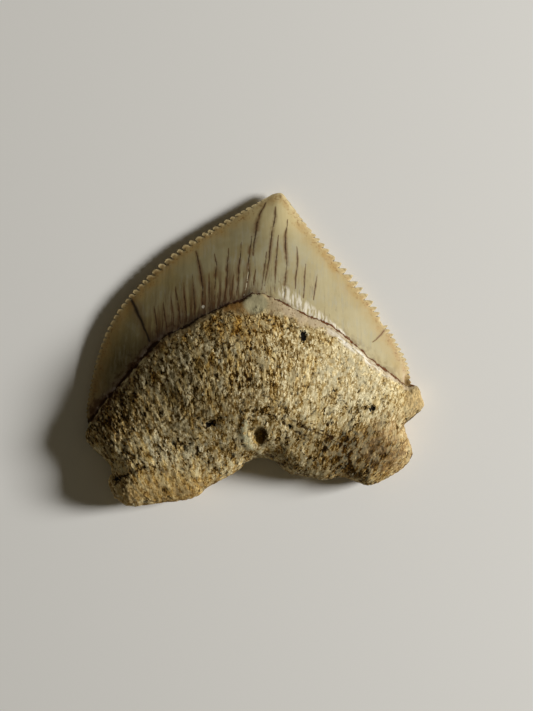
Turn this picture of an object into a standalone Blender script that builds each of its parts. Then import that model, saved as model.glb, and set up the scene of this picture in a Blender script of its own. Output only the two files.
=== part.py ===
"""Fossil crow shark tooth (Squalicorax), one grown piece lying on its flat labial face.

Frame: X across the tooth, Y from the root lobes to the apex, Z out of the lingual face.
The origin is the middle of the footprint, on the surface that the tooth lies on.
Lengths in this file are in millimetres until the mesh is written, which is in metres.
"""

import bmesh
import bpy
import numpy as np
from mathutils import Vector, kdtree, noise

METRES = 0.001

# ---- driving dimensions, mm -------------------------------------------------------------
TOOTH_WIDTH = 28.0
TOOTH_LENGTH = 26.0

CUTTING_EDGE_HEIGHT = 0.95
CUTTING_EDGE_HALF_THICKNESS = 0.10
CROWN_RISE = 3.9
CROWN_LEFT_REACH = 7.8
CROWN_RIGHT_REACH = 6.2
CROWN_FILLET = 0.34
CROWN_FILLET_REACH = 0.55
CROWN_FILLET_STARTS = 1.2

ROOT_SIDE_HEIGHT = 1.6
ROOT_SIDE_HALF_THICKNESS = 0.15
ROOT_LOBE_HEIGHT = 3.7
ROOT_BULGE = 3.05
ROOT_BULGE_AT = (-0.4, -2.4)
ROOT_BULGE_HALF_WIDTH = 8.4
ROOT_BULGE_REACH_UP = 9.0
ROOT_BULGE_REACH_DOWN = 5.6
ROOT_TOP_ROUNDING = 2.4
ROOT_UNDER_ROUNDING = 1.5
ROOT_ROUNDING_POWER = 2.2
ROOT_LUMP_DEPTH = 0.13
ROOT_LUMP_SIZE = 2.6
LEDGE_LIP = 0.14
LEDGE_LIP_WIDTH = 0.25
LEDGE_STARTS = 1.5
LEDGE_CLIMB = 2.0
LEDGE_ENDS = (-13.2, 12.3)
NOTCH_BRIDGED = 0.9
NOTCH_JOIN = 0.6

UNDER_CROWN_REACH = 3.6
UNDER_CROWN_HOLLOWING = 1.6
UNDER_LUMP_SIZE = 3.2
UNDER_GROOVE_DEPTH = 0.30
UNDER_GROOVE_HALF_WIDTH = 0.55
UNDER_GROOVE_STARTS = 2.0
FLAT_WITHIN = 0.03

# Outline, seen from the lingual side. Each stretch is a smooth curve through its points.
APEX_TIP = [(0.9, 12.62), (1.45, 12.94), (2.05, 13.07), (2.38, 12.93), (2.75, 12.47)]
LEFT_CUTTING_EDGE = [
    (0.9, 12.62), (-2.3, 10.77), (-6.45, 8.13), (-10.1, 4.78), (-12.0, 2.15), (-13.2, -0.95),
    (-13.9, -4.25), (-14.0, -5.4), (-13.84, -6.46),
]
RIGHT_CUTTING_EDGE = [
    (2.75, 12.47), (4.5, 10.12), (6.9, 7.28), (9.27, 4.38), (10.7, 2.3), (11.97, 0.22),
    (12.75, -1.4), (12.97, -2.86),
]
LEFT_ROOT_SIDE = [
    (-13.84, -6.46), (-14.05, -7.0), (-13.8, -7.85), (-12.4, -9.15), (-11.9, -9.95),
    (-12.15, -11.1), (-11.64, -12.28),
]
RIGHT_ROOT_SIDE = [
    (12.97, -2.86), (13.6, -3.15), (13.85, -3.95), (14.04, -4.5), (13.75, -5.1),
    (12.6, -6.05), (12.45, -6.6), (13.05, -8.3), (12.85, -9.2), (12.2, -9.95),
]
ROOT_BASE = [
    (-11.64, -12.28), (-10.4, -13.0), (-8.1, -12.8), (-5.1, -12.33), (-3.8, -11.4),
    (-1.5, -10.15), (-0.8, -9.45), (0.4, -9.0), (1.55, -9.25), (2.8, -10.25), (4.1, -10.55),
    (5.8, -10.85), (7.4, -10.62), (9.3, -11.28), (10.7, -10.85), (12.2, -9.95),
]

# Where the enameloid of the crown ends and the root begins, lingual side.
CROWN_BASE = [
    (-14.2, -6.6), (-13.4, -5.6), (-12.4, -4.2), (-10.05, -1.65), (-8.0, 0.6), (-5.95, 1.75),
    (-2.8, 3.45), (-1.05, 4.05), (-0.25, 4.55), (0.9, 4.5), (2.35, 3.8), (4.6, 2.65),
    (6.0, 2.15), (7.45, 1.1), (9.9, -1.1), (11.45, -2.15), (12.45, -2.88), (13.0, -3.02),
    (14.2, -2.9),
]
# Further from that line than this, the surfaces follow it only with its bends smoothed out.
BASE_LINE_REACH = 0.8
BASE_LINE_BLEND = 3.0

# The same border on the labial side, where the enameloid reaches further down.
LABIAL_CROWN_BASE = [
    (-14.2, -7.2), (-11.5, -4.4), (-8.0, -1.3), (-4.0, 1.0), (0.5, 1.9), (5.0, 0.5),
    (9.5, -2.4), (12.0, -4.0), (14.2, -5.3),
]

# ---- serrations: distances run along the edge from the apex, mm ----------------------------
SERRATION_TIP_AT = 0.74
SERRATION_FADE = 0.45
SERRATION_FADE_POWER = 1.5
SERRATION_UNEVENNESS = 0.6
SERRATION_SHIFT = 0.35


class Edge:
    """One cutting edge's serrations: how many, how blunt, their pitch and their height."""

    def __init__(self, count, rows_each, roundness, pitches, heights):
        self.count = count
        self.rows_each = rows_each
        self.roundness = roundness
        self.pitches = pitches
        self.heights = heights


LEFT_SERRATIONS = Edge(
    count=51,
    rows_each=4,
    roundness=2.4,
    pitches=[(0, 0.50), (5, 0.57), (10.5, 0.74), (13, 0.55), (17, 0.58), (21, 0.43), (27, 0.35)],
    heights=[(0, 0.04), (2.5, 0.20), (6, 0.30), (10, 0.40), (14, 0.28), (19, 0.13), (27, 0.06)],
)
RIGHT_SERRATIONS = Edge(
    count=34,
    rows_each=6,
    roundness=1.4,
    pitches=[(0, 0.52), (4, 0.53), (6.5, 0.68), (10, 0.66), (14, 0.47), (16.5, 0.40), (19, 0.35)],
    heights=[(0, 0.03), (3, 0.16), (5.5, 0.34), (8, 0.50), (12, 0.48), (15, 0.24), (19, 0.08)],
)
CHIP_AT = 12.9
CHIP_HALF_LENGTH = 0.45
CHIP_DEPTH = 0.16

# ---- hollows in the surface: x, y, half-width along x, half-width along y, depth, mm --------
FORAMEN = (0.35, -7.02, 0.54, 0.70, 0.85)
FORAMEN_RIDGE = [(-0.8, -5.7), (-0.95, -6.7), (-0.7, -7.6), (-0.2, -8.2), (0.4, -8.45)]
FORAMEN_RIDGE_HEIGHT = 0.20
FORAMEN_RIDGE_HALF_WIDTH = 0.32
PIT_FLOOR = 0.35
PIT_MOUTH = 1.25
LINGUAL_PITS = [
    (3.93, 1.08, 0.32, 0.46, 0.24),
    (9.6, -4.8, 0.34, 0.30, 0.24),
    (2.85, -6.25, 0.30, 0.34, 0.22),
    (-3.6, -6.0, 0.60, 0.40, 0.24),
    (-11.3, -10.6, 0.50, 0.32, 0.22),
]
# Furrows: start and end of each, half-width and depth. They begin a little inside the outline.
FURROW_STARTS = 0.8
LINGUAL_FURROWS = [
    ((-11.5, -11.1), (-8.7, -9.5), 0.28, 0.18),
    ((-6.0, -7.8), (-2.8, -5.3), 0.30, 0.18),
    ((4.8, -6.5), (6.4, -7.2), 0.26, 0.16),
]
LABIAL_PITS = [
    (-6.2, -6.2, 0.35, 0.28, 0.35),
    (-2.4, -5.0, 0.28, 0.30, 0.30),
    (2.6, -5.2, 0.30, 0.26, 0.30),
    (6.8, -5.6, 0.34, 0.28, 0.35),
]

# ---- mesh -----------------------------------------------------------------------------------
COLUMNS = 150
ROOT_ROWS = 30
EDGE_ROWS = LEFT_SERRATIONS.count * LEFT_SERRATIONS.rows_each
CROWDING = 0.12
DECIMATE_RATIO = 0.068


def smooth_curve(points, samples_each=24):
    """A Catmull-Rom curve through the points, sampled evenly between every two of them."""
    points = np.array(points, float)
    before = np.vstack([2 * points[0] - points[1], points[:-1]])
    after = np.vstack([points[1:], 2 * points[-1] - points[-2]])
    slopes = (after - before) / 2
    t = np.linspace(0, 1, samples_each, endpoint=False)[:, None]
    parts = []
    for i in range(len(points) - 1):
        start = (2 * t**3 - 3 * t**2 + 1) * points[i] + (t**3 - 2 * t**2 + t) * slopes[i]
        end = (3 * t**2 - 2 * t**3) * points[i + 1] + (t**3 - t**2) * slopes[i + 1]
        parts.append(start + end)
    parts.append(points[-1:])
    return np.vstack(parts)


def lengths_along(line):
    steps = np.hypot(*np.diff(line, axis=0).T)
    return np.concatenate([[0], np.cumsum(steps)])


def fractions_along(line):
    lengths = lengths_along(line)
    return lengths / lengths[-1]


def at_length(line, lengths):
    """Points on the line at the given distances from its start."""
    along = lengths_along(line)
    x = np.interp(lengths, along, line[:, 0])
    y = np.interp(lengths, along, line[:, 1])
    return np.stack([x, y], axis=-1)


def distance_to(line, xy):
    """Distance from each point to the line."""
    nearest = np.full(len(xy), np.inf)
    for start, end in zip(line[:-1], line[1:]):
        run = end - start
        share = np.clip((xy - start) @ run / max(run @ run, 1e-12), 0, 1)
        offset = xy - start - share[:, None] * run
        nearest = np.minimum(nearest, np.hypot(offset[:, 0], offset[:, 1]))
    return nearest


def inward_from(line, xy):
    """Distance from each point to a line of the outline, or 0 outside the line."""
    tree = kdtree.KDTree(len(line))
    for number, (x, y) in enumerate(line):
        tree.insert((x, y, 0), number)
    tree.balance()
    found = [tree.find((x, y, 0)) for x, y in xy]
    nearest = np.array([number for _, number, _ in found])
    distance = np.array([away for _, _, away in found])
    inside = np.sum((line[nearest] - xy) * outward(line)[nearest], axis=1) > 0
    return distance * inside


def table(pairs, values):
    keys, results = zip(*pairs)
    return np.interp(values, keys, results)


def smoothstep(low, high, values):
    t = np.clip((values - low) / (high - low), 0, 1)
    return t * t * (3 - 2 * t)


def crowded(fractions):
    """Moves fractions of 0 to 1 towards both ends, where the surface turns over the edge."""
    return fractions - CROWDING * np.sin(2 * np.pi * fractions)


def serrated_side(edge_line, serrations):
    """Row points from the heel to the apex, and how far each row is pushed outward."""
    total = lengths_along(edge_line)[-1]
    fine = np.linspace(0, total, 2000)
    counted = np.concatenate([[0], np.cumsum(np.diff(fine) / table(serrations.pitches, fine[1:]))])
    counted *= serrations.count / counted[-1]
    starts = np.arange(serrations.count + 2.0)
    shifts = [noise.noise(Vector((2.3 * n, 9.5, total))) for n in starts[1:-2]]
    starts[1:-2] += SERRATION_SHIFT * np.array(shifts)
    rows = np.arange(EDGE_ROWS, -1, -1)
    part = rows % serrations.rows_each / serrations.rows_each
    phase = np.interp(part, [0, 0.5, 1], [0, SERRATION_TIP_AT, 1])
    number = rows // serrations.rows_each
    along = np.interp(starts[number] + phase * (starts[number + 1] - starts[number]), counted, fine)
    profile = 1 - np.abs(2 * part - 1) ** serrations.roundness
    uneven = np.array([noise.noise(Vector((1.7 * n, total, 0.5))) for n in number])
    height = table(serrations.heights, along) * (1 + SERRATION_UNEVENNESS * uneven)
    return at_length(edge_line, along), (profile - 0.5) * height, along


def outward(points):
    """Unit normals of a row of points, on the side away from the middle of the tooth."""
    tangent = np.gradient(points, axis=0)
    normal = np.stack([tangent[:, 1], -tangent[:, 0]], axis=-1)
    normal /= np.maximum(np.hypot(*normal.T), 1e-9)[:, None]
    return normal * np.sign(np.sum(normal * points, axis=1))[:, None]


class Plan:
    """The tooth's flat outline, and a net of columns and rows laid over it."""

    def __init__(self):
        self.left_edge = smooth_curve(LEFT_CUTTING_EDGE)
        self.right_edge = smooth_curve(RIGHT_CUTTING_EDGE)
        self.apex = smooth_curve(APEX_TIP)
        self.left_side = smooth_curve(LEFT_ROOT_SIDE)
        self.right_side = smooth_curve(RIGHT_ROOT_SIDE)
        self.base = smooth_curve(ROOT_BASE)
        self.crown_base = smooth_curve(CROWN_BASE)
        self.labial_base = smooth_curve(LABIAL_CROWN_BASE)

    def side(self, root_side, edge_line, serrations):
        """One side of the net, from the lobe's corner to the apex."""
        fractions = np.linspace(0, 1, ROOT_ROWS, endpoint=False)
        root_line = root_side[::-1]
        root_points = at_length(root_line, crowded(fractions) * lengths_along(root_line)[-1])
        edge_points, push, along = serrated_side(edge_line, serrations)
        points = np.vstack([root_points, edge_points])
        push = np.concatenate([np.zeros(ROOT_ROWS), push])
        along = np.concatenate([np.full(ROOT_ROWS, np.inf), along])
        return points, push, along

    def net(self):
        """Plan positions of every column and row, shape (rows, columns, 2)."""
        left, left_push, _ = self.side(self.left_side, self.left_edge, LEFT_SERRATIONS)
        right, right_push, along = self.side(self.right_side, self.right_edge, RIGHT_SERRATIONS)
        chipped = 1 - smoothstep(0.6, 1.0, np.abs(along - CHIP_AT) / CHIP_HALF_LENGTH)
        right_push = right_push * (1 - chipped) - CHIP_DEPTH * chipped

        u = crowded(np.linspace(0, 1, COLUMNS + 1))[None, :, None]
        v = ((fractions_along(left) + fractions_along(right)) / 2)[:, None, None]
        base = at_length(self.base, u[0, :, 0] * lengths_along(self.base)[-1])[None]
        apex = at_length(self.apex, u[0, :, 0] * lengths_along(self.apex)[-1])[None]
        sides = (1 - u) * left[:, None] + u * right[:, None]
        ends = (1 - v) * base + v * apex
        corners = (1 - v) * ((1 - u) * left[0] + u * right[0]) + v * ((1 - u) * left[-1] + u * right[-1])
        net = sides + ends - corners

        smooth_net = net.copy()
        for points, push in ((left, left_push), (right, right_push)):
            away = np.hypot(*np.moveaxis(smooth_net - points[:, None], -1, 0))
            fade = np.exp(-((away / SERRATION_FADE) ** SERRATION_FADE_POWER))
            net = net + (outward(points) * push[:, None])[:, None] * fade[..., None]
        return net


def above(line, xy):
    """Distance above a crown base line, with the line's bends lost further from it."""
    shifts = np.linspace(-BASE_LINE_BLEND, BASE_LINE_BLEND, 25)
    straight = np.mean([np.interp(line[:, 0] + shift, *line.T) for shift in shifts], axis=0)
    slope = np.interp(xy[:, 0], line[:, 0], np.gradient(straight, line[:, 0]))
    near = xy[:, 1] - np.interp(xy[:, 0], *line.T)
    far = xy[:, 1] - np.interp(xy[:, 0], line[:, 0], straight)
    rise = far + (near - far) * np.exp(-((near / BASE_LINE_REACH) ** 2))
    return rise / np.sqrt(1 + slope**2)


def hollow(xy, pit):
    """A smooth round-bottomed pit: 1 at its middle, 0 outside it."""
    x, y, half_x, half_y, _ = pit
    away = np.hypot((xy[:, 0] - x) / half_x, (xy[:, 1] - y) / half_y)
    return 1 - smoothstep(PIT_FLOOR, PIT_MOUTH, away)


def furrow(xy, start, end, half_width):
    away = distance_to(np.array([start, end], float), xy)
    return np.exp(-((away / half_width) ** 2))


def lumps(xy, size, seed):
    """Smooth unevenness between about -1 and 1, with bumps of the given size."""
    return np.array([noise.fractal(Vector((x / size, y / size, seed)), 1.0, 2.0, 3) for x, y in xy])


def crown_top(to_left, to_right, above_base):
    """Lingual face of the crown: domed between its cutting edges, turned up at the root."""
    left = to_left / CROWN_LEFT_REACH
    right = to_right / CROWN_RIGHT_REACH
    inside = left * right / np.maximum(np.hypot(left, right), 1e-6)
    fillet = CROWN_FILLET * np.exp(-np.maximum(above_base, 0) / CROWN_FILLET_REACH)
    fillet *= smoothstep(0, CROWN_FILLET_STARTS, np.minimum(to_left, to_right))
    return CUTTING_EDGE_HEIGHT + CUTTING_EDGE_HALF_THICKNESS + CROWN_RISE * inside + fillet


def root_top(xy, rim):
    """Lingual face of the root: a bulge under the crown, falling to two lobes."""
    x, y = xy.T
    across = (x - ROOT_BULGE_AT[0]) / ROOT_BULGE_HALF_WIDTH
    lengthways = y - ROOT_BULGE_AT[1]
    reach = np.where(lengthways > 0, ROOT_BULGE_REACH_UP, ROOT_BULGE_REACH_DOWN)
    dome = ROOT_LOBE_HEIGHT + ROOT_BULGE * np.exp(-(across**2) - (lengthways / reach) ** 2)
    dome += ROOT_LUMP_DEPTH * lumps(xy, ROOT_LUMP_SIZE, seed=3.0)
    turned = np.clip(1 - rim / ROOT_TOP_ROUNDING, 0, 1)
    lowest = ROOT_SIDE_HEIGHT + ROOT_SIDE_HALF_THICKNESS
    return lowest + (dome - lowest) * np.sqrt(1 - turned**ROOT_ROUNDING_POWER)


def lingual_heights(xy, plan, rim):
    """Height of the upper sheet at each plan point. rim is the distance to the outline."""
    x = xy[:, 0]
    middle = len(plan.apex) // 2
    left_line = np.vstack([plan.apex[middle::-1], plan.left_edge[1:]])
    right_line = np.vstack([plan.apex[middle:], plan.right_edge[1:]])
    above_base = above(plan.crown_base, xy)
    crown = crown_top(inward_from(left_line, xy), inward_from(right_line, xy), above_base)

    line = plan.crown_base
    on_line = crown_top(distance_to(left_line, line), distance_to(right_line, line), 0)
    ledge = np.interp(np.clip(x, *LEDGE_ENDS), line[:, 0], on_line)
    from_notch = np.hypot(*(xy - RIGHT_CUTTING_EDGE[-1]).T)
    crown += (ledge - crown) * np.exp(-((from_notch / NOTCH_JOIN) ** 2))

    below = np.maximum(-above_base, 0)
    climb = 1 - np.exp(-below / LEDGE_CLIMB)
    lip = LEDGE_LIP * smoothstep(0, LEDGE_LIP_WIDTH, below) * smoothstep(0, LEDGE_STARTS, rim)
    root = ledge + lip + (root_top(xy, rim) - ledge - lip) * climb
    heights = np.where(above_base > 0, crown, root)

    for pit in LINGUAL_PITS + [FORAMEN]:
        heights -= pit[4] * hollow(xy, pit)
    from_ridge = distance_to(smooth_curve(FORAMEN_RIDGE), xy)
    heights += FORAMEN_RIDGE_HEIGHT * np.exp(-((from_ridge / FORAMEN_RIDGE_HALF_WIDTH) ** 2))
    for start, end, half_width, depth in LINGUAL_FURROWS:
        heights -= depth * furrow(xy, start, end, half_width) * smoothstep(0, FURROW_STARTS, rim)
    return heights


def labial_heights(xy, plan, rim):
    """Height of the lower sheet: flat where the tooth lies, rising to every edge."""
    in_root = smoothstep(0.6, -0.8, above(plan.crown_base, xy))
    crown_rise = CUTTING_EDGE_HEIGHT - CUTTING_EDGE_HALF_THICKNESS
    crown = crown_rise * np.clip(1 - rim / UNDER_CROWN_REACH, 0, 1) ** UNDER_CROWN_HOLLOWING
    turned = np.clip(1 - rim / ROOT_UNDER_ROUNDING, 0, 1)
    root_rise = ROOT_SIDE_HEIGHT - ROOT_SIDE_HALF_THICKNESS
    root = root_rise * (1 - np.sqrt(1 - turned**ROOT_ROUNDING_POWER))
    root += ROOT_LUMP_DEPTH * np.maximum(lumps(xy, UNDER_LUMP_SIZE, seed=9.0), 0)
    heights = crown + (root - crown) * in_root

    from_base = above(plan.labial_base, xy)
    groove = UNDER_GROOVE_DEPTH * np.exp(-((from_base / UNDER_GROOVE_HALF_WIDTH) ** 2))
    heights += groove * smoothstep(0, UNDER_GROOVE_STARTS, rim)
    for pit in LABIAL_PITS:
        heights += pit[4] * hollow(xy, pit)
    return np.maximum(heights, 0)


def side_heights(xy, plan):
    """Heights of the narrow band around the outline, lower and upper."""
    in_root = smoothstep(0.3, -1.2, above(plan.crown_base, xy))
    middle = CUTTING_EDGE_HEIGHT + (ROOT_SIDE_HEIGHT - CUTTING_EDGE_HEIGHT) * in_root
    half = CUTTING_EDGE_HALF_THICKNESS
    half += (ROOT_SIDE_HALF_THICKNESS - CUTTING_EDGE_HALF_THICKNESS) * in_root
    return middle - half, middle + half


def slab_mesh(name):
    """A flat grid extruded into a closed slab, in grid units."""
    shape = bmesh.new()
    bmesh.ops.create_grid(shape, x_segments=COLUMNS, y_segments=ROOT_ROWS + EDGE_ROWS, size=0.5)
    upper = bmesh.ops.extrude_face_region(shape, geom=shape.faces[:])["geom"]
    moved = [part for part in upper if isinstance(part, bmesh.types.BMVert)]
    bmesh.ops.translate(shape, verts=moved, vec=(0, 0, 1))
    bmesh.ops.recalc_face_normals(shape, faces=shape.faces[:])
    in_order = Vector((1, 1e3, 1e6))
    shape.verts.sort(key=lambda vert: vert.co.dot(in_order))
    shape.edges.sort(key=lambda edge: (edge.verts[0].co + edge.verts[1].co).dot(in_order))
    shape.faces.sort(key=lambda face: face.calc_center_median().dot(in_order))
    mesh = bpy.data.meshes.new(name)
    shape.to_mesh(mesh)
    shape.free()
    return mesh


def shape_tooth(mesh):
    """Moves every point of the slab to its place on the tooth."""
    count = len(mesh.vertices)
    grid = np.empty(count * 3, np.float32)
    mesh.vertices.foreach_get("co", grid)
    grid = grid.reshape(-1, 3)
    column = np.rint((grid[:, 0] + 0.5) * COLUMNS).astype(int)
    row = np.rint((grid[:, 1] + 0.5) * (ROOT_ROWS + EDGE_ROWS)).astype(int)
    upper = grid[:, 2] > 0.5

    plan = Plan()
    net = plan.net()
    rows, columns = net.shape[:2]
    flat = net.reshape(-1, 2)
    outline = np.vstack([net[0], net[:, -1], net[-1, ::-1], net[::-1, 0]])
    from_notch = np.hypot(*(outline - RIGHT_CUTTING_EDGE[-1]).T)
    rim = distance_to(outline[from_notch > NOTCH_BRIDGED], flat)
    low_side, high_side = side_heights(flat, plan)
    lingual = np.maximum(lingual_heights(flat, plan, rim), high_side)
    labial = np.minimum(labial_heights(flat, plan, rim), low_side)
    border = np.zeros((rows, columns), bool)
    border[[0, -1]] = True
    border[:, [0, -1]] = True
    border = border.ravel()
    lingual[border] = high_side[border]
    labial[border] = low_side[border]

    index = row * columns + column
    heights = np.where(upper, lingual[index], labial[index])
    places = np.column_stack([flat[index], heights])
    mesh.vertices.foreach_set("co", (places * METRES).astype(np.float32).ravel())
    mesh.update()


def settle(mesh):
    """Gives the tooth its exact size and a truly flat underside, centred on the origin."""
    places = np.empty(len(mesh.vertices) * 3, np.float32)
    mesh.vertices.foreach_get("co", places)
    places = places.reshape(-1, 3) / METRES
    lowest = places.min(axis=0)
    highest = places.max(axis=0)
    middle = (lowest + highest)[:2] / 2
    places[:, :2] = (places[:, :2] - middle) * (TOOTH_WIDTH, TOOTH_LENGTH) / (highest - lowest)[:2]
    places[places[:, 2] < FLAT_WITHIN, 2] = 0
    mesh.vertices.foreach_set("co", (places * METRES).astype(np.float32).ravel())
    mesh.update()


def thin_out(tooth):
    """Keeps faces where the surface bends and drops them where it is flat."""
    fewer = tooth.modifiers.new("fewer faces", "DECIMATE")
    fewer.ratio = DECIMATE_RATIO
    bpy.context.view_layer.objects.active = tooth
    bpy.ops.object.modifier_apply(modifier=fewer.name)


def material(name, colour, roughness):
    result = bpy.data.materials.new(name)
    result.use_nodes = True
    shader = result.node_tree.nodes["Principled BSDF"]
    shader.inputs["Base Color"].default_value = (*colour, 1)
    shader.inputs["Roughness"].default_value = roughness
    shader.inputs["Metallic"].default_value = 0
    return result


def build():
    for old in list(bpy.data.objects):
        bpy.data.objects.remove(old, do_unlink=True)
    collection = bpy.data.collections.new("fossil_shark_tooth")
    bpy.context.scene.collection.children.link(collection)

    mesh = slab_mesh("tooth")
    shape_tooth(mesh)
    tooth = bpy.data.objects.new("tooth", mesh)
    collection.objects.link(tooth)
    mesh.materials.append(material("fossil_tooth", (0.46, 0.37, 0.22), 0.6))

    thin_out(tooth)
    settle(mesh)
    mesh.shade_smooth()
    mesh.set_sharp_from_angle(angle=np.radians(50))


build()
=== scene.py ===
"""Looks of a fossil crow shark tooth: a smooth, streaked enameloid crown with serrated
edges on a porous, ochre-stained root. Lengths are in millimetres unless a name says otherwise."""

from functools import partial
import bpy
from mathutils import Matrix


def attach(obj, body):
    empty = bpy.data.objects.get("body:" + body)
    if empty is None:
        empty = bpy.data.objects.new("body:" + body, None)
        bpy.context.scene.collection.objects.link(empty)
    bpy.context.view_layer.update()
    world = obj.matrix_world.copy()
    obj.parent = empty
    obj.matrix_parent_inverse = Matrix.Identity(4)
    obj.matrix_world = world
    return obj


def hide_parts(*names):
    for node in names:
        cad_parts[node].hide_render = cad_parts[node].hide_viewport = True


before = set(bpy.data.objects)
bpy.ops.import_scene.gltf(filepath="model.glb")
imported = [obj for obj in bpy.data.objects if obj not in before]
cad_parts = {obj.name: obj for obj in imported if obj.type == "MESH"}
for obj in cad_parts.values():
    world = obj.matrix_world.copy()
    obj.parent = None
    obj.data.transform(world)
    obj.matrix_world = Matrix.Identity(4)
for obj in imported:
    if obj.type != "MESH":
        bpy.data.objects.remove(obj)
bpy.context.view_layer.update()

from types import SimpleNamespace

import bpy
import numpy as np
from mathutils import Vector, kdtree, noise

METRES = 0.001
BODY = "root"
NODE = "tooth"

# ---- outline, the same named values as the solid's ----
TOOTH_WIDTH = 28.0
TOOTH_LENGTH = 26.0

APEX_TIP = [(0.9, 12.62), (1.45, 12.94), (2.05, 13.07), (2.38, 12.93), (2.75, 12.47)]
LEFT_CUTTING_EDGE = [
    (0.9, 12.62), (-2.3, 10.77), (-6.45, 8.13), (-10.1, 4.78), (-12.0, 2.15), (-13.2, -0.95),
    (-13.9, -4.25), (-14.0, -5.4), (-13.84, -6.46),
]
RIGHT_CUTTING_EDGE = [
    (2.75, 12.47), (4.5, 10.12), (6.9, 7.28), (9.27, 4.38), (10.7, 2.3), (11.97, 0.22),
    (12.75, -1.4), (12.97, -2.86),
]
LEFT_ROOT_SIDE = [
    (-13.84, -6.46), (-14.05, -7.0), (-13.8, -7.85), (-12.4, -9.15), (-11.9, -9.95),
    (-12.15, -11.1), (-11.64, -12.28),
]
RIGHT_ROOT_SIDE = [
    (12.97, -2.86), (13.6, -3.15), (13.85, -3.95), (14.04, -4.5), (13.75, -5.1),
    (12.6, -6.05), (12.45, -6.6), (13.05, -8.3), (12.85, -9.2), (12.2, -9.95),
]
ROOT_BASE = [
    (-11.64, -12.28), (-10.4, -13.0), (-8.1, -12.8), (-5.1, -12.33), (-3.8, -11.4),
    (-1.5, -10.15), (-0.8, -9.45), (0.4, -9.0), (1.55, -9.25), (2.8, -10.25), (4.1, -10.55),
    (5.8, -10.85), (7.4, -10.62), (9.3, -11.28), (10.7, -10.85), (12.2, -9.95),
]
CROWN_BASE = [
    (-14.2, -6.6), (-13.4, -5.6), (-12.4, -4.2), (-10.05, -1.65), (-8.0, 0.6), (-5.95, 1.75),
    (-2.8, 3.45), (-1.05, 4.05), (-0.25, 4.55), (0.9, 4.5), (2.35, 3.8), (4.6, 2.65),
    (6.0, 2.15), (7.45, 1.1), (9.9, -1.1), (11.45, -2.15), (12.45, -2.88), (13.0, -3.02),
    (14.2, -2.9),
]
LABIAL_CROWN_BASE = [
    (-14.2, -7.2), (-11.5, -4.4), (-8.0, -1.3), (-4.0, 1.0), (0.5, 1.9), (5.0, 0.5),
    (9.5, -2.4), (12.0, -4.0), (14.2, -5.3),
]
BASE_LINE_JITTER = 0.12
BASE_LINE_BLEND = 3.0
BASE_LINE_REACH = 0.8
LEDGE_ENDS = (-13.2, 12.3)
NOTCH_BRIDGED = 0.9
NOTCH_JOIN = 0.6
ROOT_EDGE_JITTER = 0.05

# ---- heights ----
CUTTING_EDGE_HEIGHT = 0.95
CUTTING_EDGE_HALF_THICKNESS = 0.08
BEVEL_OF_EDGE = 0.05
CROWN_RISE = 3.9
CROWN_LEFT_REACH = 7.8
CROWN_RIGHT_REACH = 6.2
CROWN_FILLET = 0.34
CROWN_FILLET_REACH = 0.55
CROWN_FILLET_STARTS = 1.2
ROOT_SIDE_HEIGHT = 1.6
ROOT_SIDE_HALF_THICKNESS = 0.12
ROOT_LOBE_HEIGHT = 3.7
ROOT_BULGE = 3.05
ROOT_BULGE_AT = (-0.4, -2.4)
ROOT_BULGE_HALF_WIDTH = 8.4
ROOT_BULGE_REACH_UP = 9.0
ROOT_BULGE_REACH_DOWN = 5.6
ROOT_TOP_ROUNDING = 2.4
ROOT_UNDER_ROUNDING = 1.5
ROOT_ROUNDING_POWER = 2.2
ROOT_LUMP_DEPTH = 0.13
ROOT_LUMP_SIZE = 2.6
LEDGE_LIP = 0.14
LEDGE_LIP_WIDTH = 0.25
LEDGE_STARTS = 1.5
LEDGE_CLIMB = 2.0
UNDER_CROWN_REACH = 3.6
UNDER_CROWN_HOLLOWING = 1.6
UNDER_LUMP_SIZE = 3.2
UNDER_GROOVE_DEPTH = 0.30
UNDER_GROOVE_HALF_WIDTH = 0.55
UNDER_GROOVE_STARTS = 2.0
RESTING_BELOW = 0.01
# Heights above the crown's base between which one shape goes over into the other.
SIDE_BLEND = (0.3, -1.2)
UNDER_BLEND = (0.6, -0.8)
BONE_BLEND = (0.05, -0.25)

# ---- serrations, counted from the apex ----
SERRATION_TIP_AT = 0.74
SERRATION_FADE = 0.45
SERRATION_FADE_POWER = 1.5
SERRATION_UNEVENNESS = 0.6
SERRATION_SHIFT = 0.35
NOTCH_REACH = 0.18
LEFT_SERRATIONS = {
    "count": 51,
    "roundness": 2.4,
    "rows_each": 8,
    "pitches": [(0, 0.50), (5, 0.57), (10.5, 0.74), (13, 0.55), (17, 0.58), (21, 0.43), (27, 0.35)],
    "heights": [(0, 0.04), (2.5, 0.20), (6, 0.30), (10, 0.40), (14, 0.28), (19, 0.13), (27, 0.06)],
}
RIGHT_SERRATIONS = {
    "count": 34,
    "roundness": 1.4,
    "rows_each": 12,
    "pitches": [(0, 0.52), (4, 0.53), (6.5, 0.68), (10, 0.66), (14, 0.47), (16.5, 0.40), (19, 0.35)],
    "heights": [(0, 0.03), (3, 0.16), (5.5, 0.34), (8, 0.50), (12, 0.48), (15, 0.24), (19, 0.08)],
}
CHIP_AT = 12.9
CHIP_HALF_LENGTH = 0.45
CHIP_DEPTH = 0.16

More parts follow.
